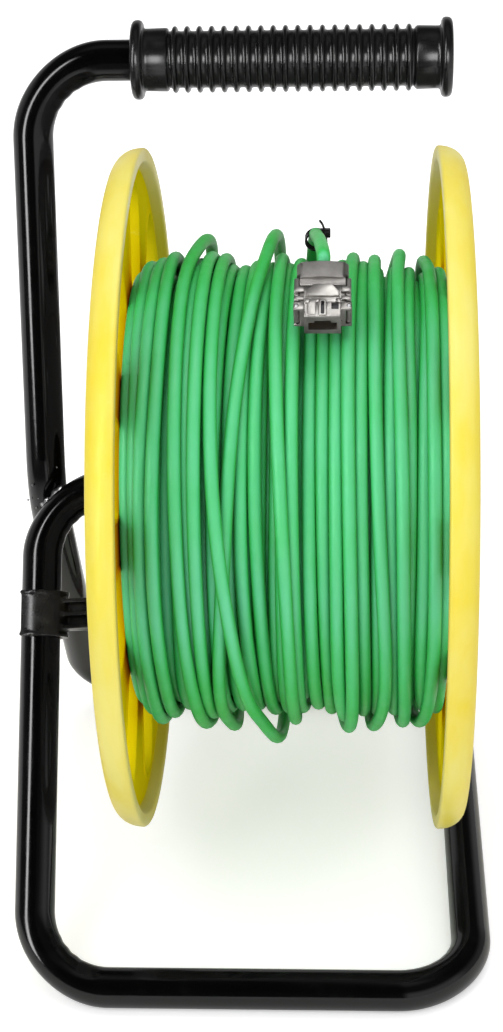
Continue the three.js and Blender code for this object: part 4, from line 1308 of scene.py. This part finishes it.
def jack_housing(prefix, place):
    """Die-cast body and nose with a latch plate, a slot, a square hole, pin lugs and the port."""
    top, nose = JACK_TOP, JACK_NOSE_HALF
    parts = [
        jack_block((-JACK_HALF, -2, -top), (JACK_HALF, 10, top - 0.6), place, 0.5),
        jack_block((-nose, 6, -top), (nose, NOSE_Y, top), place, 0.4),
        jack_block((-nose + 0.4, 3.6, top - 1), (nose - 0.4, 6.4, top + 0.15), place, 0.2),
    ]
    plate = [(-3.9, -2.0), (3.9, -2.0), (6.9, 1.4, 0.5), (6.9, 3.9, 0.4), (-6.9, 3.9, 0.4), (-6.9, 1.4, 0.5)]
    parts.append(bevelled(prism(fillet(plate, 0.3), top - 1, top + 0.95, place), 0.3))
    for side in (-1, 1):
        inner, outer = sorted((side * (JACK_HALF - 2), side * (JACK_HALF + 2.5)))
        for z0, z1 in ((5.0, top), (-top, -5.0)):
            parts.append(jack_block((inner, PIN_Y - 1.9, z0), (outer, PIN_Y + 1.9, z1), place, 0.35))
        edge = sorted((side * 5.4, side * 7.4))
        parts.append(jack_block((edge[0], 4.6, top - 0.8), (edge[1], 7.0, top + 0.5), place, 0.25))
    collar = [(-1.7, 5.2), (1.7, 5.2), (1.7, 12.9), (-1.7, 12.9)]
    parts.append(bevelled(prism(fillet(collar, 0.5), top - 0.6, top + 0.45, place), 0.2))
    pad = [(2.8, 5.0), (6.4, 5.0), (6.4, 12.4), (2.8, 12.4)]
    parts.append(bevelled(prism(fillet(pad, 0.6), top - 0.5, top + 0.18, place), 0.12))
    body = united(prefix + "_jack_body", parts)
    slot = [(-0.75, 5.9), (0.75, 5.9), (0.75, 12.3), (-0.75, 12.3)]
    cutters = [
        prism(fillet(slot, 0.5), top - 2.2, top + 2, place),
        block((-6.6, 6.6, top - 2.4), (-3.6, 9.8, top + 2), place),
        port_cutter(place),
        block((-4, -3, -2.5), (4, 2, 2.5), place),
    ]
    for side in (-1, 1):
        cutters.append(pin_rod(place, side, 8.0, 0.95, 20))
    body = cut_by(body, cutters)
    body = bevelled(body, 0.12, 1, 50)
    dress(smooth(body, 35), NICKEL, "drum", [prefix + "_jack_housing"])
    linings = [
        block((-0.75, 5.9, top - 2.15), (0.75, 12.3, top - 1.5), place),
        block((-6.6, 6.6, top - 2.35), (-3.6, 9.8, top - 1.4), place),
    ]
    lining = bevelled(joined(prefix + "_jack_lining", linings), 0.05, 1)
    dress(smooth(lining, 35), CARRIER, "drum")


def port_cutter(place):
    """A plug's outline: a wide mouth with a step for the latch."""
    right = [(5.9, -3.4), (5.9, 2.0), (3.4, 2.0), (3.4, 3.4)]
    outline = [(-5.9, -3.4)] + right + [(-3.4, 3.4), (-3.4, 2.0), (-5.9, 2.0)]
    return prism(fillet(outline, 0.25, 2), 0.5, 15, endways(place))


def jack_rear_cap(prefix, place):
    """Domed cast cap, lower in front where the latch plate reaches over it, round a cable hole."""
    t = JACK_TOP + 0.6
    outline = [(-10.75, -t, 0.8), (10.75, -t, 0.8), (10.75, t - 2.4, 1.5), (8.8, t - 0.3, 2)]
    outline += [(0, t + 0.55, 20), (-8.8, t - 0.3, 2), (-10.75, t - 2.4, 1.5)]
    cap = bevelled(prism(fillet(outline, 1, 6), -13.5, -2.3, endways(place)), 0.5, 3, 60)
    cutters = [block((-10.9, -5.6, t - 1.3), (10.9, 0, t + 3), place)]
    cutters.append(rod_in(place, (0, -14.5, 0), (0, -7.4, 0), CABLE_R + 0.25, 32))
    for side in (-1, 1):
        low, high = sorted((side * (JACK_HALF - 0.05), side * 13))
        cutters.append(block((low, -7.6, -5.0), (high, 0, 9.0), place))
    cap = bevelled(cut_by(cap, cutters), 0.18, 1, 50)
    dress(smooth(cap, 32), NICKEL_CAST, "drum", [prefix + "_jack_rear_cap"])


def jack_wing(prefix, word, side, place):
    """A pressed side wing on its pin: a flat plate with two notches and a lip over the body's edge."""
    body = prefix + "_jack_wing_" + word
    low, high = sorted((side * (JACK_HALF + 0.3), side * (JACK_HALF + 2.3)))
    plate = [(-7, -4.4), (5.4, -4.4), (8, -4.4, 1.4), (8, 4.4, 1.4), (5.6, 4.4), (5.6, 6.6, 0.4)]
    plate += [(3.4, 6.6, 0.3), (3.4, 5.2), (1.6, 5.2), (1.6, 6.6, 0.3)]
    plate += [(-1.4, 6.6, 0.4), (-1.4, 4.4), (-7, 4.4, 0.8)]
    parts = [bevelled(prism(fillet(plate, 0.3, 3), low, high, sideways(place)), 0.22)]
    lip = sorted((side * (JACK_HALF - 1.9), side * (JACK_HALF + 2.0)))
    parts.append(jack_block((lip[0], -1.2, JACK_TOP - 0.4), (lip[1], 1.5, JACK_TOP + 0.45), place, 0.25))
    parts.append(jack_block((lip[0], 3.5, JACK_TOP - 0.4), (lip[1], 5.4, JACK_TOP + 0.45), place, 0.25))
    parts.append(pin_rod(place, side, 4.4, 1.25, 28))
    wing = cut_by(united(body + "_pressing", parts), [pin_rod(place, side, 8.0, 0.92, 20)])
    dress(smooth(wing, 35), NICKEL, body + "_body", [body])


def jack_pin(prefix, word, side, place):
    node = f"{prefix}_jack_pin_{word}"
    section = [(-6.5, 0), (-6.5, 0.6), (-6.3, 0.8), (6.3, 0.8), (6.5, 0.6), (6.5, 0)]

    def pin_place(p):
        return place(np.column_stack([p[:, 1] + side * WING_X, p[:, 2] + PIN_Y, p[:, 0]]))

    pin = moved(lathe(node + "_rod", section, 24, (0, 0, 0)), pin_place)
    dress(smooth(facing_out(pin)), STEEL, "drum", [node])


def jack_inside(prefix, place):
    """Contact carrier with eight sprung gold contacts."""
    parts = [
        bevelled(block((-5.6, 0.8, -3.1), (5.6, 3.3, 3.1), place), 0.2),
        bevelled(block((-4.6, 1.8, -3.1), (4.6, 6.8, -2.2), place), 0.2),
    ]
    for k in range(9):
        x = (k - 4) * 1.02
        parts.append(block((x - 0.13, 3.2, -2.3), (x + 0.13, 6.6, -1.75), place))
    carrier = joined(prefix + "_jack_carrier", parts)
    dress(smooth(carrier, 35), CARRIER, "drum", [prefix + "_jack_insert"])
    contacts = []
    for k in range(8):
        x = (k - 3.5) * 1.02
        line = curve_through([(x, 3.0, 1.6), (x, 3.9, 1.1), (x, 5.6, -1.0), (x, 6.6, -1.9)], 6)
        verts, faces = tube_mesh(place(line), np.full(len(line), 0.2), 8)
        contacts.append(facing_out(new_object("contact", verts, faces)))
    contact_set = joined(prefix + "_jack_contacts", contacts)
    dress(smooth(contact_set, 60), GOLD, "drum")


def jack(prefix):
    """A screened network jack: housing, rear cap, contacts, two wings and their pins."""
    place = jack_place(prefix)
    jack_housing(prefix, place)
    jack_rear_cap(prefix, place)
    jack_inside(prefix, place)
    for word, side in (("left", 1), ("right", -1)):
        jack_wing(prefix, word, side, place)
        jack_pin(prefix, word, side, place)


def cable_tie():
    """The black tie that holds the last turns behind the free jack, with its cut tail."""
    at = drum_point(15.6, 116.4, -22)
    around = [drum_point(11.4 + 4.6 * math.cos(a), 113.6 + 4.3 * math.sin(a), -26)
              for a in np.arange(33) * 2 * math.pi / 32]
    band = ribbon("tie_band", np.array(around), 2.4, 1.0, closed=True)
    head = bevelled(block(at - [2.4, 2.1, 1.7], at + [2.4, 2.1, 1.7], np.asarray), 0.4)
    tail_line = at + np.array([(0, 0, 0), (-0.6, 1.2, 1.8), (-1.4, 2.4, 3.4), (-2.6, 3.4, 4.6)])
    tail = ribbon("tie_tail", curve_through(tail_line, 8), 2.2, 0.9)
    obj = joined("cable_tie", [band, head, tail])
    dress(smooth(obj, 40), PLASTIC, "drum")


def ribbon(name, points, width, thickness, closed=False):
    """A flat strap along a line, with its width across the drum's turning plane."""
    line = points[:-1] if closed else points
    tangents, across, _ = carried_frames(line, closed)
    turning = np.array([0, math.cos(math.radians(24)), math.sin(math.radians(24))])
    wide = unit(turning - tangents * (tangents @ turning)[:, None]) if closed else across
    thin = np.cross(tangents, wide)
    corners = [(1, 1), (-1, 1), (-1, -1), (1, -1)]
    rows = [[p + w * width / 2 * i + t * thickness / 2 * j for i, j in corners]
            for p, w, t in zip(line, wide, thin)]
    faces = grid_faces(len(line), 4, closed) + ([] if closed else end_faces(len(line), 4))
    return bevelled(facing_out(new_object(name, np.array(rows).reshape(-1, 3), faces)), 0.15, 1, 50)


# ---------------------------------------------------------------- hub parts

def hub_parts():
    """Bushes, flange screws, and what closes the axle's end."""
    for word, side in (("left", -1), ("right", 1)):
        section = [(56.3, 9.5), (56.0, 9.8), (56.0, 14.7), (56.3, 15.0), (70.3, 15.0), (70.3, 18.7)]
        section += [(70.6, 19.0), (72.0, 19.0), (72.3, 18.7), (72.3, 9.8), (72.0, 9.5)]
        obj = smooth(lathe(word + "_bush_bearing", section, 96, AXLE, side))
        dress(obj, ACETAL, "drum", [word + "_bush"])
        for i, at in screw_places(side):
            flange_screw(f"{word}_flange_screw_{i}", side, at)
    insert = [(49.9, 3.5), (49.9, 6.4), (50.1, 6.6), (73.5, 6.6), (73.7, 6.4), (73.7, 3.9), (73.3, 3.5)]
    dress(smooth(lathe("axle_plug", insert, 64, AXLE)), STEEL, "frame", ["axle_insert"])
    washer = [(74.3, 3.6), (74.3, 15.7), (74.6, 16), (76.0, 16), (76.3, 15.7), (76.3, 3.6)]
    dress(smooth(lathe("axle_washer_disc", washer, 96, AXLE)), STEEL, "frame", ["axle_washer"])
    axle_bolt()
    hub_cap()


def flange_screw(name, side, at):
    """Pan-head screw with a cross recess and a coarse thread."""
    section = [(52.7, 0), (54.0, 1.1)]
    turns = 11
    for k in range(turns * 2):
        section.append((54.6 + k * 0.62, 1.9 if k % 2 else 1.35))
    section += [(68.7, 1.5), (68.7, 4.0), (68.9, 4.2), (69.7, 4.1), (70.6, 3.5), (71.1, 2.5), (71.3, 0)]
    screw = lathe(name + "_pan_head", section, 32, at, side)

    def screw_place(p):
        return p * [side, 1, 1] + at

    cross = [block((69.7, -wide, -high), (74, wide, high), screw_place)
             for wide, high in ((0.45, 2.1), (2.1, 0.45))]
    dress(smooth(cut_by(screw, cross), 40), STEEL, "drum", [name])


def axle_bolt():
    """Hexagon bolt with chamfered head and a thread."""
    section = [(55.0, 0), (55.0, 2.6)]
    for k in range(36):
        section.append((55.4 + k * 0.5, 3.2 if k % 2 else 2.75))
    section += [(74.0, 3.2), (77.0, 3.2), (77.0, 0)]
    shank = lathe("shank", section, 40, AXLE)
    radius = 7.5
    head_low, head_high = 76.6, 81.9
    hexagon = [(radius * math.sin(a), radius * math.cos(a)) for a in np.arange(6) * math.pi / 3]
    head = prism(hexagon, head_low, head_high, sideways(on_axle))
    chamfered = [(head_low - 1, 0), (head_low - 1, 7.6), (80.9, 7.5), (82.2, 5.7), (82.2, 0)]
    keep = lathe("keep", chamfered, 64, AXLE)
    bolt = united("axle_hex_bolt", [combined(head, [keep], "INTERSECT"), shank])
    dress(smooth(bolt, 30), STEEL, "frame", ["axle_bolt"])


def hub_cap():
    """Round cap with a rolled edge and a shallow dish."""
    x0, x1, r = 68.7, 83.7, 23.5
    section = [(x0, 21.8), (x0, 23.3), (x0 + 0.3, r), (x0 + 2.2, r), (x0 + 2.6, 23.2), (x0 + 3.4, 23.2)]
    section += [(x0 + 3.8, r), (x1 - 4.2, r), (x1 - 2.6, 22.9), (x1 - 1.2, 21.6), (x1 - 0.3, 19.6)]
    section += [(x1, 17.6), (x1 - 0.1, 15.6), (x1 - 0.7, 14.8), (x1 - 0.9, 12.0), (x1 - 0.8, 0)]
    section += [(x1 - 1.8, 0), (x1 - 1.8, 16.4), (x1 - 4.0, 21.6)]
    cap = smooth(lathe("hub_cap_moulding", section, 120, AXLE), 40)
    dress(cap, PLASTIC, "drum", ["hub_cap"])


# ---------------------------------------------------------------- floor, light and camera

def floor():
    """A plain pale floor. In front and to the left it is dark in reflections, like a studio's flag."""
    bm = bmesh.new()
    bmesh.ops.create_grid(bm, x_segments=2, y_segments=2, size=30)
    mesh = bpy.data.meshes.new("floor")
    bm.to_mesh(mesh)
    bm.free()
    obj = bpy.data.objects.new("floor", mesh)
    bpy.context.scene.collection.objects.link(obj)
    n = Nodes("floor")
    length = n.node("ShaderNodeVectorMath", operation="LENGTH")
    n.link(n.place, length.inputs[0])
    far = n.ramp(n.math("DIVIDE", length.outputs["Value"], 1.2), [(0.22, 0.0), (0.5, 0.95)])
    apart = n.node("ShaderNodeSeparateXYZ")
    n.link(n.place, apart.inputs[0])
    leftward = n.ramp(n.math("ADD", apart.outputs["X"], 0.5), [(0.4, 1.0), (0.5, 0.0)])
    forward = n.ramp(n.math("ADD", apart.outputs["Y"], 0.5), [(0.3, 1.0), (0.45, 0.0)])
    flagged = n.math("MULTIPLY", n.math("MULTIPLY", leftward, forward), far)
    reflected = n.math("MULTIPLY", flagged, n.node("ShaderNodeLightPath").outputs["Is Glossy Ray"])
    colour = n.mix(reflected, (0.93, 0.93, 0.93), (0.02, 0.02, 0.02))
    glow = n.math("MULTIPLY", n.node("ShaderNodeLightPath").outputs["Is Camera Ray"], 0.38)
    n.surface(Base_Color=colour, Roughness=0.9, Emission_Color=(1.0, 1.0, 1.0), Emission_Strength=glow)
    mesh.materials.append(n.material)
    obj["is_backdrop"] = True


def area_light(name, at, target, size, power, receivers=None):
    """A soft light, wide by high. One with receivers lights only those; others stay out of reflections."""
    light = bpy.data.lights.new(name, "AREA")
    light.shape = "RECTANGLE"
    light.energy = power
    light.size, light.size_y = size
    obj = bpy.data.objects.new(name, light)
    obj.location = at
    obj.rotation_euler = (Vector(target) - Vector(at)).to_track_quat("-Z", "Y").to_euler()
    bpy.context.scene.collection.objects.link(obj)
    if receivers:
        obj.light_linking.receiver_collection = receivers
    else:
        obj.visible_glossy = False


def studio():
    """White surroundings, soft lights, and dark flags and white panels that only reflections see."""
    world = bpy.data.worlds.new("studio")
    bpy.context.scene.world = world
    bpy.context.scene.view_settings.view_transform = "Standard"
    n = Nodes("studio", world)
    background = n.tree.nodes["Background"]
    apart = n.node("ShaderNodeSeparateXYZ")
    n.link(n.coordinates.outputs["Generated"], apart.inputs[0])
    x, y, z = apart.outputs
    bearing = n.math("ARCTAN2", x, n.math("MULTIPLY", y, -1.0))
    turn = n.math("ADD", n.math("DIVIDE", bearing, 2 * math.pi), 0.5)
    # Bearings as shares of a turn from straight behind: 0.25 is the left, 0.5 the front, 0.75 the right
    low = n.ramp(turn, [(0.0, 0.5), (0.22, 0.5), (0.27, 0.1), (0.47, 0.02), (0.52, 0.02), (0.54, 0.85),
                        (0.7, 0.8), (0.74, 0.3), (0.85, 0.3), (0.9, 0.5)])
    height = n.ramp(z, [(0.3, 1.0), (0.55, 0.06), (0.85, 0.06), (0.97, 0.4)])
    strip = n.ramp(turn, [(0.345, 0.0), (0.355, 1.0), (0.38, 1.0), (0.39, 0.0)])
    upright = n.ramp(z, [(0.75, 1.0), (0.85, 0.0)])
    seen = n.math("ADD", n.math("MULTIPLY", low, height),
                  n.math("MULTIPLY", n.math("MULTIPLY", strip, upright), 13.0))
    path = n.node("ShaderNodeLightPath")
    plain = n.mix(path.outputs["Is Camera Ray"], (0.8, 0.8, 0.8), (1.0, 1.0, 1.0))
    n.link(n.mix(path.outputs["Is Glossy Ray"], plain, seen), background.inputs["Color"])
    drum, mouldings = bpy.data.collections.new("drum_pieces"), bpy.data.collections.new("black_mouldings")
    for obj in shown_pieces():
        if (body_of(obj) or [""])[0] != "frame":
            drum.objects.link(obj)
        elif obj.data.materials[0] == PLASTIC:
            mouldings.objects.link(obj)
    area_light("key", (-0.9, -1.5, 1.9), (0, 0, 0.2), (1.0, 1.0), 14)
    area_light("fill", (1.2, -1.3, 1.2), (0, 0, 0.2), (0.9, 0.9), 7)
    area_light("top", (0.1, 0.3, 2.2), (0, 0, 0.2), (1.4, 1.4), 10)
    area_light("drum_front", (-0.5, -1.6, 0.9), (0, 0, 0.2), (0.7, 0.7), 1.5, drum)
    area_light("drum_low", (0.0, -1.6, 0.25), (0, 0, 0.15), (2.0, 0.4), 4.5, drum)
    area_light("drum_left", (-1.2, -0.5, 1.1), (-0.1, 0, 0.2), (0.7, 0.7), 3.0, drum)
    area_light("drum_top", (0.1, -0.3, 1.6), (0, 0, 0.2), (0.6, 0.6), 3.5, drum)
    area_light("mouldings_front", (0.1, -1.3, 0.85), (0, 0, 0.35), (0.6, 0.6), 11, mouldings)


def camera():
    """From straight in front, looking down by about thirty degrees, level along the axle."""
    data = bpy.data.cameras.new("camera")
    data.sensor_width = 36
    data.lens = 70.8
    data.clip_start = 0.05
    data.clip_end = 60
    obj = bpy.data.objects.new("camera", data)
    at = Vector((0.0415, -0.8106, 0.653))
    forward = (Vector((-0.0021, -0.0065, 0.1738)) - at).normalized()
    right = (Vector((1, 0, 0)) - forward * forward.x).normalized()
    turned = Matrix((right, right.cross(forward), -forward)).transposed().to_4x4()
    obj.matrix_world = Matrix.Translation(at) @ turned
    bpy.context.scene.collection.objects.link(obj)
    bpy.context.scene.camera = obj


# ---------------------------------------------------------------- build

frame_tube()
weld_bead()
grip()
bracket()
barrel()
for word, side in (("left", -1), ("right", 1)):
    flange(word, side)
cable()
for prefix in ("outer", "inner"):
    jack(prefix)
cable_tie()
hub_parts()
floor()
studio()
camera()
